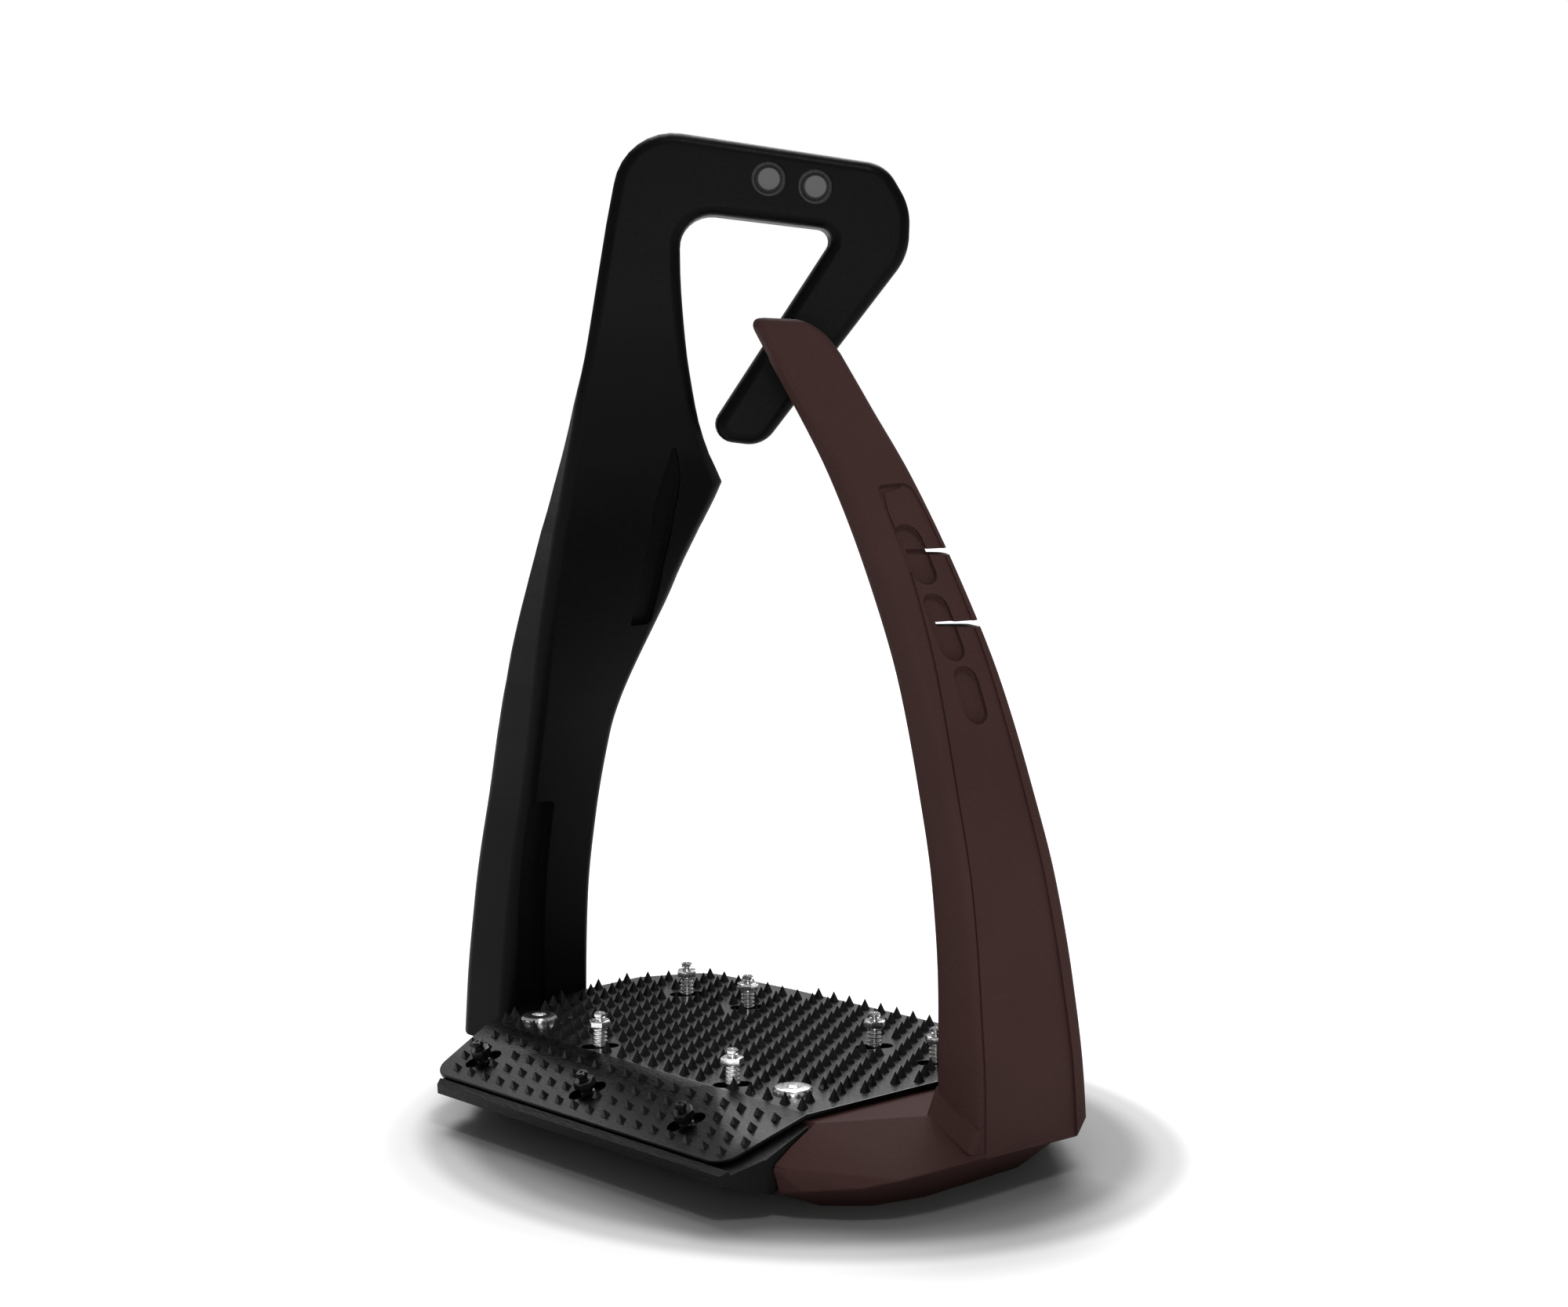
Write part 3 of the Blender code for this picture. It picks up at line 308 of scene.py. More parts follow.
def speckled(name, color, spread, roughness, roughSpread, grain, bump, metallic=0.0, stretch=(1, 1, 1),
             shine=0.5):
    # a fine grain in colour, gloss and relief; stretch draws it out into brush lines
    material, nodes, links, shader = shaderNodes(name, color, roughness, metallic)
    shader.inputs["Specular IOR Level"].default_value = shine
    where = nodes.new("ShaderNodeTexCoord")
    mapping = nodes.new("ShaderNodeMapping")
    mapping.inputs["Scale"].default_value = stretch
    links.new(where.outputs["Object"], mapping.inputs["Vector"])
    fine, broad = nodes.new("ShaderNodeTexNoise"), nodes.new("ShaderNodeTexNoise")
    for noise, scale, detail in ((fine, grain, 3), (broad, grain / 60, 4)):
        noise.inputs["Scale"].default_value = scale
        noise.inputs["Detail"].default_value = detail
        links.new(mapping.outputs["Vector"], noise.inputs["Vector"])
    both = nodes.new("ShaderNodeMath")
    both.operation = "MULTIPLY_ADD"
    both.inputs[1].default_value = 0.6
    links.new(fine.outputs["Fac"], both.inputs[0])
    scaled = nodes.new("ShaderNodeMath")
    scaled.operation = "MULTIPLY"
    scaled.inputs[1].default_value = 0.4
    links.new(broad.outputs["Fac"], scaled.inputs[0])
    links.new(scaled.outputs[0], both.inputs[2])
    ramp = nodes.new("ShaderNodeValToRGB")
    ramp.color_ramp.elements[0].position, ramp.color_ramp.elements[1].position = 0.3, 0.7
    ramp.color_ramp.elements[0].color = (*[c * (1 - spread) for c in color], 1)
    ramp.color_ramp.elements[1].color = (*[c * (1 + spread) for c in color], 1)
    links.new(both.outputs[0], ramp.inputs["Fac"])
    links.new(ramp.outputs["Color"], shader.inputs["Base Color"])
    gloss = nodes.new("ShaderNodeMapRange")
    gloss.inputs["From Min"].default_value, gloss.inputs["From Max"].default_value = 0.3, 0.7
    gloss.inputs["To Min"].default_value = roughness - roughSpread
    gloss.inputs["To Max"].default_value = roughness + roughSpread
    links.new(both.outputs[0], gloss.inputs["Value"])
    links.new(gloss.outputs["Result"], shader.inputs["Roughness"])
    relief = nodes.new("ShaderNodeBump")
    relief.inputs["Strength"].default_value = bump
    relief.inputs["Distance"].default_value = 0.0002
    links.new(fine.outputs["Fac"], relief.inputs["Height"])
    links.new(relief.outputs["Normal"], shader.inputs["Normal"])
    return material


brownSatin = speckled("brownSatin", (0.048, 0.0245, 0.0224), 0.16, 0.52, 0.05, 3600, 0.35, shine=0.025)
blackSatin = speckled("blackSatin", (0.003, 0.003, 0.003), 0.2, 0.38, 0.08, 1500, 0.1, shine=0.044)
blackBrushed = speckled("blackBrushed", (0.0035, 0.0035, 0.0035), 0.5, 0.4, 0.12, 500, 0.5, 0.0, (1.2, 6, 6),
                        0.12)
darkPlate = speckled("darkPlate", (0.098, 0.098, 0.098), 0.1, 0.24, 0.05, 700, 0.05, 1.0, (1, 5, 5))
# painted shade: a darker copy of the plate finish, for the sloped flap and the plate's side faces
shadedFlapAndEdges = speckled("shadedFlapAndEdges", (0.006, 0.006, 0.006), 0.3, 0.3, 0.08, 600, 0.12, 0.9, (1, 6, 6))
spikeBlack = speckled("spikeBlack", (0.006, 0.006, 0.006), 0.25, 0.28, 0.05, 2500, 0.05, 0.1, shine=0.3)
brightSteel = speckled("brightSteel", (0.8, 0.8, 0.8), 0.12, 0.2, 0.07, 2200, 0.12, 1.0)
plainSteel = speckled("plainSteel", (0.42, 0.42, 0.43), 0.1, 0.34, 0.06, 900, 0.1, 1.0, (1, 4, 1))
greyDisc = speckled("greyDisc", (0.075, 0.075, 0.075), 0.08, 0.5, 0.05, 1800, 0.05, 0.2)
blackOxide = speckled("blackOxide", (0.012, 0.012, 0.012), 0.2, 0.3, 0.06, 2000, 0.1, 0.7)
plainBrass = speckled("plainBrass", (0.55, 0.38, 0.14), 0.08, 0.35, 0.05, 1500, 0.08, 1.0)
print("materials ready")

# ---- inner branch with its platform
platform = {"corners": [(-64.5, -14.6, 0), (-52, -14.6, 1), (-52, -26.2, 6), (40, -26.2, 6), (41.5, 24, 8),
                        (-52, 24, 8), (-52, 2.2, 1), (-64.5, 2.2, 0)], "low": 6.6, "top": 15.0}
innerDetail = {"groove": [(-14.6, 12, 0), (-16.3, 57.6, 1.6), (-10.2, 57.6, 1.6), (-7.4, 12, 0)],
               "hollow": [(-9.2, 93.2, 0.9), (-14.1, 105.7, 0), (-16.9, 117.4, 0.8), (-16.3, 124, 0),
                          (-15.2, 129.5, 0.4), (-13.0, 122.5, 0), (-12.2, 115.6, 0), (-9.6, 105.5, 0),
                          (-4.6, 93.2, 0.9)], "grooveDepth": 1.5, "hollowDepth": 1.3, "lip": 0.5}
eyeParts = {"strip": (22.0, 7.6), "stripThick": 2.5, "room": 0.3,      # room round the strip
            "disc": [(0, 1.5), (1.95, 1.5), (2.05, 1.4), (2.45, 0.9), (2.55, 0.75), (2.55, 0), (0, 0)]}


def edgeRun(stations, low, high, step=3.0):
    count = round((high - low) / step)
    heights = [low + (high - low) * k / count for k in range(count + 1)]
    return [(valueAt(stations, height), height) for height in heights]


eyeTop = rounded(inner["eye"])
outline = edgeRun(inner["toe"], inner["foot"], inner["toeTop"]) + eyeTop[1:-1]
outline += edgeRun(inner["post"], *inner["postRun"])[::-1]
outline.append((valueAt(inner["heel"], inner["notch"]), inner["notch"]))
outline += edgeRun(inner["heel"], inner["foot"], inner["heelTop"])[::-1]
half = inner["thick"] / 2
branch = slab(outline, -half, half, inner["round"], 6)
(x0, z0), (x1, z1) = inner["holes"]
tilt = math.atan2(z1 - z0, x1 - x0)
stripFace = half - inner["holeDepth"]
middle = (x0 + x1) / 2, (z0 + z1) / 2
length, width = eyeParts["strip"]
room, deep = eyeParts["room"], eyeParts["stripThick"]
branch = carve(branch, slab(obround(*middle, length + 2 * room, width + 2 * room, tilt),
                            stripFace - deep - room, stripFace + room))
for x, z in inner["holes"]:
    branch = carve(branch, pin(x, z, 0, half + 0.5, inner["hole"], 40))
for name in ("groove", "hollow"):
    bottom = half - innerDetail[name + "Depth"]
    cut = slab(rounded(innerDetail[name]), bottom, half + 2, innerDetail["lip"], 2)
    branch = carve(branch, cut)
branch = bend(branch, placeInner, inner["slice"])
branch = carve(branch, slab(rounded(platform["corners"]), platform["low"], platform["top"]), "UNION")
finishPiece(branch, "innerBranch", blackSatin, ["inner_branch"])

strip = slab(obround(*middle, length, width, tilt), stripFace - deep, stripFace, 0.3, 2)
strip = bend(strip, placeInner, 50)
finishPiece(strip, "eyeStrip", blackOxide, ["eye_strip"])
discs = bmesh.new()
for x, z in inner["holes"]:
    disc = turned(eyeParts["disc"], 40)
    bmesh.ops.translate(disc, vec=(x, z, stripFace + 0.05), verts=disc.verts)
    discs = added(discs, disc)
finishPiece(bend(discs, placeInner, inner["uncut"]), "eyeDiscs", greyDisc, [])
print("inner branch done")

# ---- base and outer branch, one brown skin
base = {
    "sole": [(44, -27, 0), (50, -21, 0), (53, -11, 0), (53, 13, 0), (49, 23, 0), (41, 27, 0)],
    "outerWaist": [(56.4, -30, 6.5), (60.9, -25, 7.8), (63.4, -18, 8.7), (64.4, -9, 9), (64.4, 10, 9),
                   (62.8, 16, 8.6), (57.4, 24, 8.0), (49.4, 30, 7.4), (44, -37, 4.5), (44, -38.6, 9.4),
                   (44, -34.4, 12.0), (48.5, -35.6, 5.4), (44, 34.5, 6)],
    "innerWaist": [(-48, -31, 7.4), (-56, -22, 8.0), (-65, -16.5, 8.6), (-72, -10, 9), (-72, 9, 9),
                   (-71, 18, 8.7), (-68.5, 25, 7.8), (-64, 30, 6.5), (-44, -37, 4.5), (-44, 34.5, 6)],
    "outerRim": [(44, -28.4, 15), (45.4, -24.6, 15), (47.4, -20.4, 15), (51.6, -15.2, 15), (54.4, -11.2, 15),
                 (56, 14, 15), (50.4, 26, 15), (40, 32.5, 15)],
    "innerRim": [(-44, -28.4, 15), (-46, -26, 14.2), (-54, -16.5, 13.6), (-63.6, -12, 13.6),
                 (-62, 8, 13.6), (-53, 22, 13.8), (-40, 31, 14.6)],
    "edge": 0.6, "notch": [(-37.0, 4.5), (-28.4, 15.0), (-28.4, 30), (-60, 30), (-60, 4.5)], "notchHalf": 44,
    # the fillet at the branch's toe: (height, inward from the toe edge, depth)
    "fillet": [(19.5, 0.2, -10.6), (13.6, 0.2, -0.9), (14.9, -2.2, -10.6), (9.9, -1.8, -1.2), (9, 3, -10.6),
               (9, 3, -1.2), (19.5, 1.2, -10.6), (13.6, 1.2, -0.9), (9, 0.5, -10.6), (9, 0.5, -1.2)],
    "clear": (0.1, 0.3, 0.3), "footRoom": ((-80, -18.5, 7.1), (-56.0, 5.3, 30)),
    "blendFrom": 16.0, "blendTo": 70.0,
}
ends = base["sole"] + base["outerWaist"] + base["outerRim"] + base["innerWaist"] + base["innerRim"]
ends += [(-x, y, z) for x, y, z in base["sole"]]
shell = hullOf(ends, base["edge"])
shell = carve(shell, lengthways(slab(base["notch"], -base["notchHalf"], base["notchHalf"])))

halfWidth = lambda h: valueAt(outer["width"], h) / 2
steps = [outer["low"] + (outer["tipFrom"] - outer["low"]) * k / 45 for k in range(46)]
tip = rounded(outer["tip"])
heelFoot, setIn, heelDown, toeDown = outer["heelFoot"]


arm = slab([(-halfWidth(h), h) for h in steps if h > 15] + tip
           + [(halfWidth(h), h) for h in reversed(steps) if h > 11]
           + [(halfWidth(heelFoot), heelFoot), (halfWidth(outer["low"]) - setIn, outer["low"] - heelDown),
              (-halfWidth(outer["low"]), outer["low"] - toeDown)],
           -outer["face"], 0, outer["round"], 4)
bmesh.ops.bisect_plane(arm, geom=arm.verts[:] + arm.edges[:] + arm.faces[:], dist=1e-4,
                       plane_co=(0, 0, -outer["toeTurn"]), plane_no=(0, 0, 1))
for v in arm.verts:
    if v.co.x < 0 and v.co.z > -outer["toeTurn"]:      # the toe face turns outward near the front
        v.co.x += outer["toeSet"] * (1 + v.co.z / outer["toeTurn"]) * min(max((150 - v.co.y) / 30, 0), 1)
levels = [outer["low"] - 4 + (outer["panelTop"] - outer["low"] + 2.5) * k / 40 for k in range(41)]
toeLine = [(-halfWidth(h) + valueAt(outer["rim"], h), h) for h in levels]
heelLine = [(halfWidth(h) - valueAt(outer["rail"], h), h) for h in levels]
top = outer["panelTop"]
corners = rounded([(toeLine[-1][0], top - 4, 0), (toeLine[-1][0] + 0.4, top, 1.6),
                   (heelLine[-1][0] - 0.4, top + 0.4, 1.6), (heelLine[-1][0], top - 4, 0)])
arm = carve(arm, slab(toeLine[:-1] + corners[1:-1] + heelLine[:-1][::-1], -outer["panelDepth"], 3, 0.0))
grooveLine = toeLine[:-1] + corners[1:10]
grooveBack = [(s + outer["grooveWidth"], h) for s, h in toeLine[:-1]] + [(toeLine[-1][0] + 1.3, top - 1.4)]
grooveEnd = [(heelLine[-1][0] - 2.2, top + 0.3), (heelLine[-1][0] - 2.2, top - 0.5)]
arm = carve(arm, slab(grooveLine + grooveEnd + grooveBack[::-1], -outer["grooveDepth"], 3))
for height, length, s in outer["pockets"]:
    shape = obround(s, height, length, outer["pocketWidth"], math.pi / 2)
    arm = carve(arm, slab(shape, -outer["pocketDepth"], 3, 0.6, 3))
for height, through, start in outer["slits"]:
    narrow, wide = outer["slitWidth"] * 0.35, outer["slitWidth"] / 2
    shape = [(0, height - narrow), (30, height - wide * 2.2),      # opens wider towards the heel
             (30, height + wide * 2.2), (0, height + narrow)]
    arm = carve(arm, slab([(max(s, through), h) for s, h in shape], -20, 20))
    arm = carve(arm, slab([(max(s, start), h) for s, h in shape], -2.6, 20))
arm = bend(arm, placeOuter, outer["slice"])
skin = carve(shell, arm, "UNION")
fillet = hullOf([placeOuter(-halfWidth(h) + inward, h, n) for h, inward, n in base["fillet"]], 0.3)
skin = carve(skin, fillet, "UNION")
clearX, clearY, clearZ = base["clear"]
room = [(x + math.copysign(clearX, x), y + math.copysign(clearY, y), r) for x, y, r in platform["corners"]]
skin = carve(skin, slab(rounded(room), platform["low"] - clearZ, 20))
skin = carve(skin, block(*base["footRoom"]))
bmesh.ops.remove_doubles(skin, verts=skin.verts, dist=0.003)
skinNodes = ["base_shell", "outer_branch_core", "outer_branch_cover"]
skinPiece = finishPiece(skin, "brownSkin", brownSatin, skinNodes, body=None, smooth=20)
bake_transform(skinPiece)

width, depth, thick, bladeTop = outer["blade"]
blade = slab([(-width / 2, 9.6), (width / 2, 9.6), (width * 0.375, bladeTop), (-width * 0.375, bladeTop)],
             -depth - thick, -depth)      # narrows to three quarters at its top
bladePiece = finishPiece(bend(blade, placeOuter, 4), "springBlade", plainSteel, ["spring_blade"],
                         body=None)
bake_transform(bladePiece)
print("brown skin done")

# ---- tread plate, spikes and slots
tread = {
    "outline": [(42.6, -29.0, 0), (43.8, 0, 0), (45.0, 16, 0), (42, 31.5, 12), (15, 32.6, 0), (-25, 31.5, 0),
                (-48, 29.5, 8), (-55.2, 16, 4), (-55.0, 4, 0), (-53.0, -12, 0), (-47.0, -29.0, 0),
                (-43.6, -46.6, 5.0), (38.8, -46.6, 5.0)],
    "top": 16.3, "thick": 1.0, "crease": -29.0, "slope": math.radians(20.75), "bendRadius": 2.0,
    "pitch": 4.4, "spikeHeight": 2.1, "spikeWidth": 1.5, "flapShare": 0.62, "margin": 1.9, "clearance": 0.8,
    "slot": (7.2, 3.7, math.radians(60)),
    "studs": [(-17.2, -25.6), (19.8, -25.6), (-36.7, 13.2), (-19.8, 14.5), (19.1, 11.0), (35.0, 11.0)],
    "flapStuds": [(-36.2, 10.4), (-5.2, 10.2), (22.2, 10.4)],
    "screws": [(-41.0, -21.5), (31.0, -21.5)], "screwHead": 7.6,
}


def bendFlap(x, y, z):
    down, over = tread["crease"] - y, z - tread["top"]
    if down <= 0:
        return Vector((x, y, z))
    return Vector((x, tread["crease"] - down * math.cos(tread["slope"]) - over * math.sin(tread["slope"]),
                   tread["top"] - down * math.sin(tread["slope"]) + over * math.cos(tread["slope"])))


def inset(x, y, shape):
    # how far inside an outline a point is; negative outside
    inside, least = False, 1e9
    for (ax, ay), (bx, by) in zip(shape, shape[1:] + shape[:1]):
        if (ay > y) != (by > y) and x < (bx - ax) * (y - ay) / (by - ay) + ax:
            inside = not inside
        t = min(max(((x - ax) * (bx - ax) + (y - ay) * (by - ay)) / ((bx - ax) ** 2 + (by - ay) ** 2), 0), 1)
        least = min(least, math.hypot(x - ax - t * (bx - ax), y - ay - t * (by - ay)))
    return least if inside else -least


edge = rounded(tread["outline"])
flapSpots = [(x, tread["crease"] - down) for x, down in tread["flapStuds"]]
slots = [obround(x, y, *tread["slot"]) for x, y in tread["studs"] + flapSpots]
plate = slab(edge, tread["top"] - tread["thick"], tread["top"], 0.25, 2)
for shape in slots:
    plate = carve(plate, slab(shape, tread["top"] - 4, tread["top"] + 4))
for x, y in tread["screws"]:
    plate = carve(plate, pin(x, y, tread["top"] - 4, tread["top"] + 4, 4.6))
plate = bend(plate, lambda x, y, z: Vector((x, y, z)), 200)
bmesh.ops.bisect_plane(plate, geom=plate.verts[:] + plate.edges[:] + plate.faces[:], dist=1e-4,
                       plane_co=(0, tread["crease"], 0), plane_no=(0, 1, 0))
# painted shade: the flap and the faces not facing up take the darker copy of the plate finish
for face in plate.faces:
    face.material_index = int(face.calc_center_median().y < tread["crease"] or face.normal.z < 0.97)
for v in plate.verts:
    v.co = bendFlap(*v.co)
platePiece = finishPiece(plate, "treadPlate", darkPlate, ["tread_plate"], smooth=35)
platePiece.data.materials.append(shadedFlapAndEdges)

rowStep = tread["pitch"] * math.sqrt(3) / 2
rows = [(-27.3 + rowStep * k, (k % 2) / 2) for k in range(17)]
rows += [(tread["crease"] - 3.3 - rowStep * k, 0.65 + (k % 2) / 2) for k in range(5)]
spikes = bmesh.new()
for y, shift in rows:
    for i in range(-14, 13):
        x = tread["pitch"] * (i + shift)
        nearSlot = any(inset(x, y, shape) > -tread["clearance"] for shape in slots)
        screwRoom = tread["screwHead"] / 2 + tread["clearance"]
        nearScrew = any(math.hypot(x - sx, y - sy) < screwRoom for sx, sy in tread["screws"])
        if nearSlot or nearScrew or inset(x, y, edge) < tread["margin"]:
            continue
        foot = bendFlap(x, y, tread["top"] - 0.1)
        lean = tread["slope"] if y < tread["crease"] else 0.0
        tall = tread["spikeHeight"] * (tread["flapShare"] if y < tread["crease"] else 1.0) + 0.1
        place = Matrix.Translation(foot) @ Matrix.Rotation(lean, 4, "X")
        place = place @ Matrix.Rotation(math.pi / 4, 4, "Z")
        bmesh.ops.create_cone(spikes, cap_ends=True, segments=4, radius1=tread["spikeWidth"] / math.sqrt(2),
                              radius2=0.06, depth=tall, matrix=place @ Matrix.Translation((0, 0, tall / 2)))
finishPiece(spikes, "treadSpikes", spikeBlack, [], smooth=20, weighted=False)
print("tread done")

# ---- carrier strip under the flap
carrier = {"end": 43.7, "toeLow": Vector((-37.0, 4.5)), "toeHigh": Vector((-28.4, 15.0)), "edge": 0.35}
top = [bendFlap(0, tread["crease"] - d, tread["top"] - 1.3)[1:] for d in (1.2, 17.9)]
lip = bendFlap(0, tread["crease"] - 17.9, tread["top"] - 0.6)
up = (carrier["toeHigh"] - carrier["toeLow"]).normalized()
clear = carrier["toeLow"] + Vector((-up.y, up.x)) * 0.35
side = [top[0], top[1], (lip.y, lip.z), (lip.y - 1.4, lip.z - 0.8), (lip.y - 1.2, lip.z - 2.6),
        (clear.x - 0.8, clear.y - 0.4), tuple(clear), tuple(clear + up * 11.8)]
strip = lengthways(slab(side, -carrier["end"], carrier["end"], carrier["edge"], 2))
for s in (1, -1):
    end = carrier["end"]
    slanted = [(s * (end + 1), -37.5), (s * (end + 1), -55), (s * (end - 9), -55), (s * (end - 3.2), -46.0)]
    strip = carve(strip, slab(slanted, -5, 30))
finishPiece(strip, "treadCarrier", blackBrushed, ["tread_carrier"])

# ---- studs and screws
stud = {"threads": 5, "pitch": 0.75, "outer": 1.35, "root": 1.05, "hex": 4.2, "tip": 1.1,
        "grip": (3.7, 5.1, 6.5, -4.5), "flap": (0.9, 2.5, 4.0, -3.5)}      # hexLow, hexHigh, tall, low


def studShape(hexLow, hexHigh, tall, low):
    profile = [(0, low), (stud["root"], low)]
    z = hexLow - stud["threads"] * stud["pitch"]
    for k in range(stud["threads"]):
        profile += [(stud["root"], z), (stud["outer"], z + 0.25), (stud["outer"], z + 0.45),
                    (stud["root"], z + 0.7)]
        z += stud["pitch"]
    profile += [(stud["root"], hexLow + 0.2), (0, hexLow + 0.2)]
    bm = turned(profile, 20)
    collar = pin(0, 0, hexLow, hexHigh, stud["hex"], 6)
    rims = [e for e in collar.edges if abs(e.verts[0].co.z - e.verts[1].co.z) < 1e-6]
    bmesh.ops.bevel(collar, geom=rims, offset=0.3, segments=2, profile=0.5, affect="EDGES", material=-1)
    tip = turned([(0, hexHigh - 0.2), (0.85, hexHigh - 0.2), (0.85, hexHigh + 0.4),
                  (stud["tip"], hexHigh + 0.7), (stud["tip"], tall - 0.25), (stud["tip"] - 0.25, tall),
                  (0.35, tall), (0.3, tall - 0.2), (0, tall - 0.2)], 20)
    return added(bm, collar, tip)


for n, (x, y) in enumerate(tread["studs"]):
    shape = studShape(*stud["grip"])
    place = Matrix.Translation((x, y, tread["top"])) @ Matrix.Rotation(n * 0.4, 4, "Z")
    bmesh.ops.transform(shape, matrix=place, verts=shape.verts)
    finishPiece(shape, f"gripStud{n + 1}", brightSteel, [f"grip_stud_{n + 1}"], smooth=28)
for n, (x, down) in enumerate(tread["flapStuds"]):
    shape = studShape(*stud["flap"])
    foot = bendFlap(x, tread["crease"] - down, tread["top"])
    place = Matrix.Translation(foot) @ Matrix.Rotation(tread["slope"], 4, "X")
    place = place @ Matrix.Rotation(n * 0.5, 4, "Z")
    bmesh.ops.transform(shape, matrix=place, verts=shape.verts)
    finishPiece(shape, f"flapStud{n + 1}", blackOxide, [f"flap_stud_{n + 1}"], smooth=28)
screw = {"profile": [(0, 1.15), (2.5, 1.15), (3.2, 1.0), (3.5, 0.65), (3.55, 0.45), (3.55, 0.02), (2.0, 0.02),
                     (2.0, -8.6), (0, -8.6)], "headTop": 1.15, "key": 3.0, "keyDepth": 0.5}
for n, (x, y) in enumerate(tread["screws"]):
    shape = turned(screw["profile"], 48)
    shape = carve(shape, pin(0, 0, screw["headTop"] - screw["keyDepth"], 5, screw["key"], 6))
    place = Matrix.Translation((x, y, tread["top"])) @ Matrix.Rotation(0.3 + n, 4, "Z")
    bmesh.ops.transform(shape, matrix=place, verts=shape.verts)
    finishPiece(shape, f"treadScrew{n + 1}", brightSteel, [f"tread_screw_{n + 1}"], smooth=28)

# CAD nodes that stay, with their finishes
kept = {"blade_root": plainSteel, "root_screw": plainSteel, "sole_screw": plainSteel,
        "tread_insert": plainBrass}
for name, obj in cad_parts.items():
    for start, material in kept.items():
        if name.startswith(start):
            obj.data.materials.clear()
            obj.data.materials.append(material)
print("fittings done")

# ---- floor, light and camera
studio = {"floor": 3.0, "aim": (0, 0, 0.08), "floorColor": 0.93, "world": 0.26,
          # shade: a shadow painted into the floor's colour round the part
          "shade": {"middle": (0.010, 0.0), "reach": (0.090, 0.080),
                    "tones": [(0.12, 0.8), (0.2, 0.5), (0.3, 0.25), (0.42, 0.2)]},
          "sun": 3.3, "sunSpread": 48, "sunLean": math.radians(34), "sunSide": math.radians(46.7),
          "lamps": [("frontLamp", (0.55, -0.46, 0.15), 0.3, 1.0), ("rimLamp", (-0.35, 0.6, 0.6), 0.4, 1.6),
                    ("topLamp", (0.32, -0.16, 0.6), 0.1, 1.0)]}
bm = bmesh.new()
bmesh.ops.create_grid(bm, x_segments=1, y_segments=1, size=studio["floor"])
mesh = bpy.data.meshes.new("floor")
bm.to_mesh(mesh)
bm.free()
floor = bpy.data.objects.new("floor", mesh)
bpy.context.scene.collection.objects.link(floor)
# painted shadow: the floor's colour darkens softly towards the part, standing in for its shadow
paleFloorPaintedShadow, nodes, links, shader = shaderNodes("paleFloorPaintedShadow", [studio["floorColor"]] * 3, 0.9)
kinds = ("TexCoord", "Mapping", "TexGradient", "ValToRGB")
where, mapping, paintedShadowFade, ramp = (nodes.new("ShaderNode" + kind) for kind in kinds)
(middleX, middleY), (reachX, reachY) = studio["shade"]["middle"], studio["shade"]["reach"]
mapping.inputs["Scale"].default_value = (1 / reachX, 1 / reachY, 1)
mapping.inputs["Location"].default_value = (-middleX / reachX, -middleY / reachY, 0)
paintedShadowFade.gradient_type = "SPHERICAL"
links.new(where.outputs["Object"], mapping.inputs["Vector"])
links.new(mapping.outputs["Vector"], paintedShadowFade.inputs["Vector"])
links.new(paintedShadowFade.outputs["Fac"], ramp.inputs["Fac"])
links.new(ramp.outputs["Color"], shader.inputs["Base Color"])
ramp.color_ramp.interpolation = "EASE"
ramp.color_ramp.elements.remove(ramp.color_ramp.elements[1])
ramp.color_ramp.elements[0].color = (*[studio["floorColor"]] * 3, 1)
for position, tone in studio["shade"]["tones"]:
    ramp.color_ramp.elements.new(position).color = (tone, tone, tone, 1)
mesh.materials.append(paleFloorPaintedShadow)
world = bpy.data.worlds.new("studio")
world.use_nodes = True
nodes, links = world.node_tree.nodes, world.node_tree.links
nodes["Background"].inputs["Color"].default_value = (1, 1, 1, 1)
nodes["Background"].inputs["Strength"].default_value = studio["world"]
backdrop, path, mix = (nodes.new("ShaderNode" + kind) for kind in ("Background", "LightPath", "MixShader"))
links.new(path.outputs["Is Camera Ray"], mix.inputs["Fac"])
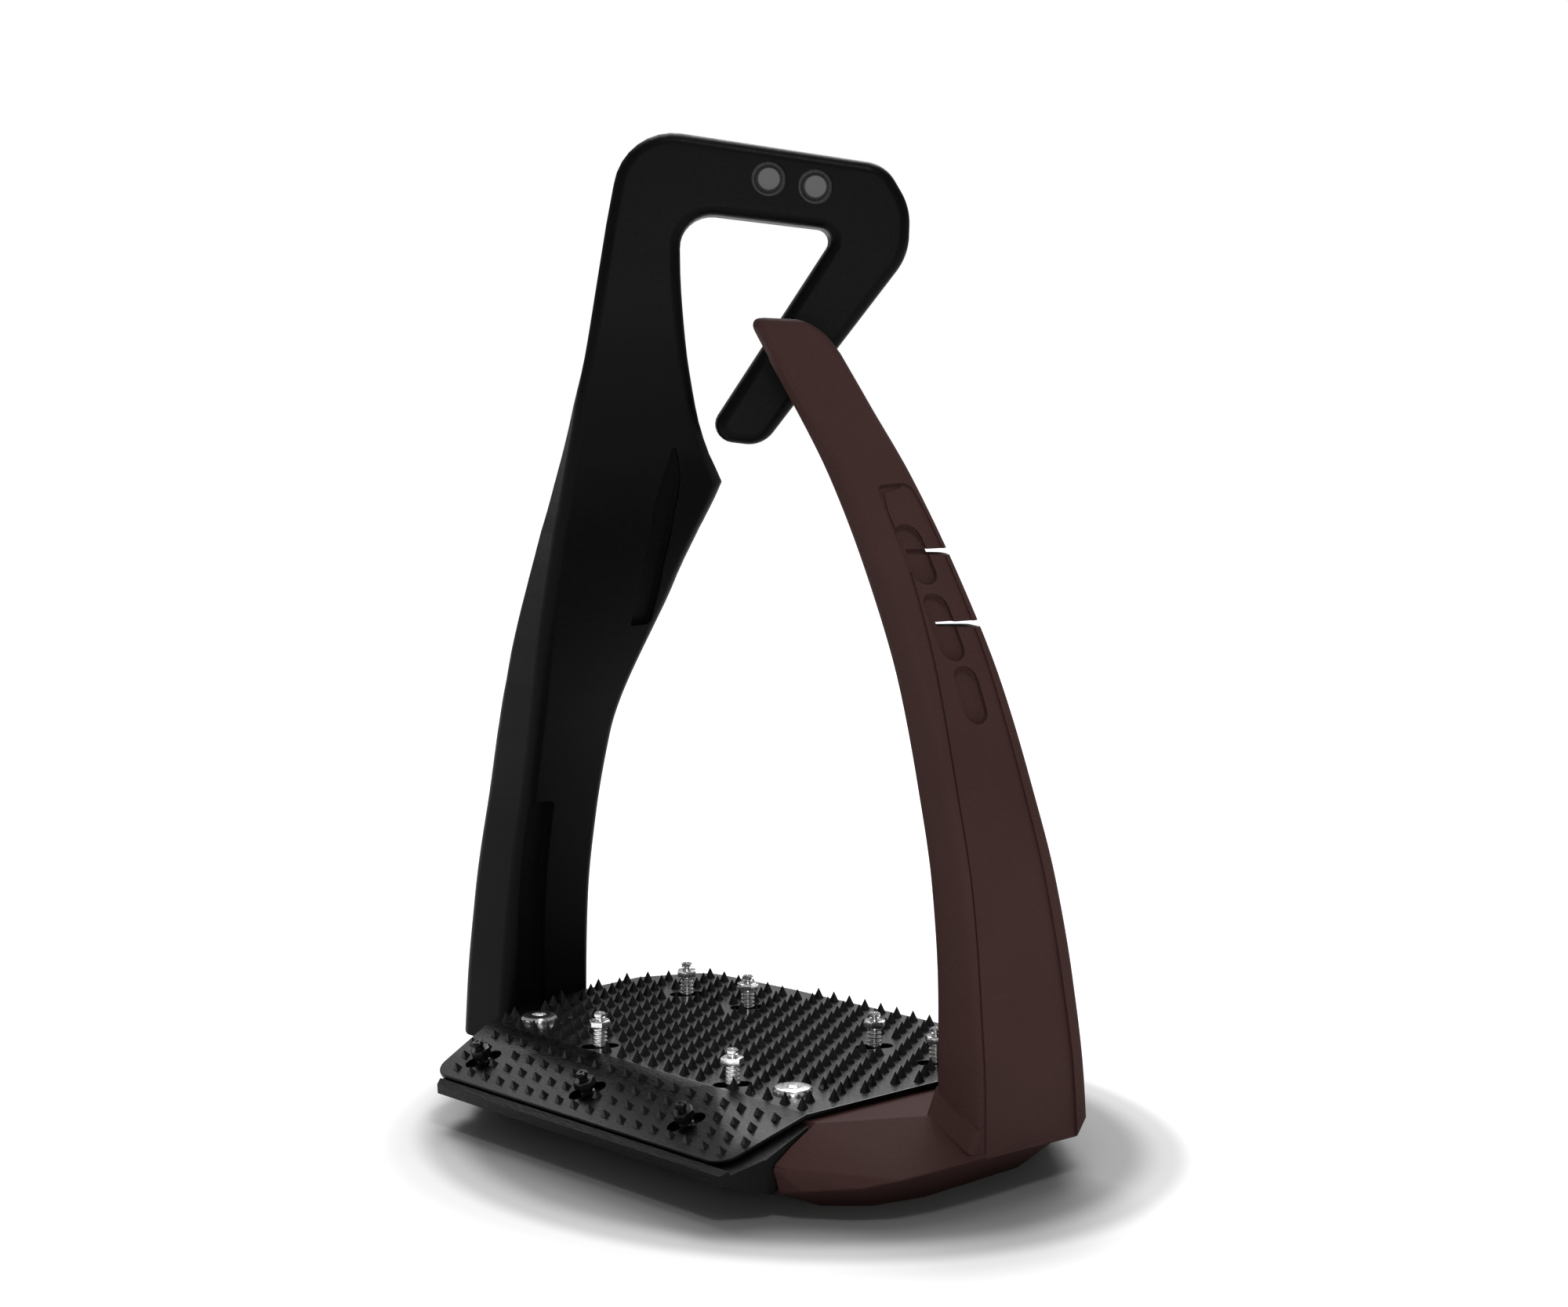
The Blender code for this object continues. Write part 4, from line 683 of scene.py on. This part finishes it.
links.new(nodes["Background"].outputs[0], mix.inputs[1])
links.new(backdrop.outputs[0], mix.inputs[2])
backdrop.inputs["Color"].default_value = (1, 1, 1, 1)
links.new(mix.outputs[0], nodes["World Output"].inputs["Surface"])
bpy.context.scene.world = world
sun = bpy.data.lights.new("softSun", "SUN")
sun.energy, sun.angle = studio["sun"], math.radians(studio["sunSpread"])
obj = bpy.data.objects.new("softSun", sun)
lean, turn = studio["sunLean"], studio["sunSide"]
fromSun = Vector((-math.sin(turn) * math.sin(lean), math.cos(turn) * math.sin(lean), math.cos(lean)))
obj.matrix_world = fromSun.to_track_quat("Z", "Y").to_matrix().to_4x4()
bpy.context.scene.collection.objects.link(obj)
for name, spot, size, power in studio["lamps"]:
    lamp = bpy.data.lights.new(name, "AREA")
    lamp.size, lamp.energy = size, power
    obj = bpy.data.objects.new(name, lamp)
    aim = (Vector(spot) - Vector(studio["aim"])).to_track_quat("Z", "Y")
    obj.matrix_world = Matrix.Translation(spot) @ aim.to_matrix().to_4x4()
    bpy.context.scene.collection.objects.link(obj)
bpy.context.scene.view_settings.view_transform = "Standard"

camera = {"spot": (0.3583, -0.3318, 0.1436), "azimuth": math.radians(46.667), "down": math.radians(6.283),
          "roll": math.radians(-0.313), "lens": 60.33}
az, el, roll = camera["azimuth"], camera["down"], camera["roll"]
back = Vector((math.sin(az) * math.cos(el), -math.cos(az) * math.cos(el), math.sin(el)))
right = Vector((math.cos(az), math.sin(az), 0))
above = back.cross(right)
right, above = (math.cos(roll) * right + math.sin(roll) * above,
                -math.sin(roll) * right + math.cos(roll) * above)
view = bpy.data.cameras.new("mainView")
view.lens, view.sensor_width, view.sensor_fit = camera["lens"], 36, "HORIZONTAL"
view.clip_start, view.clip_end = 0.01, 50
eye = bpy.data.objects.new("mainView", view)
eye.matrix_world = Matrix.Translation(camera["spot"]) @ Matrix((right, above, back)).transposed().to_4x4()
bpy.context.scene.collection.objects.link(eye)
bpy.context.scene.camera = eye
print("studio done")
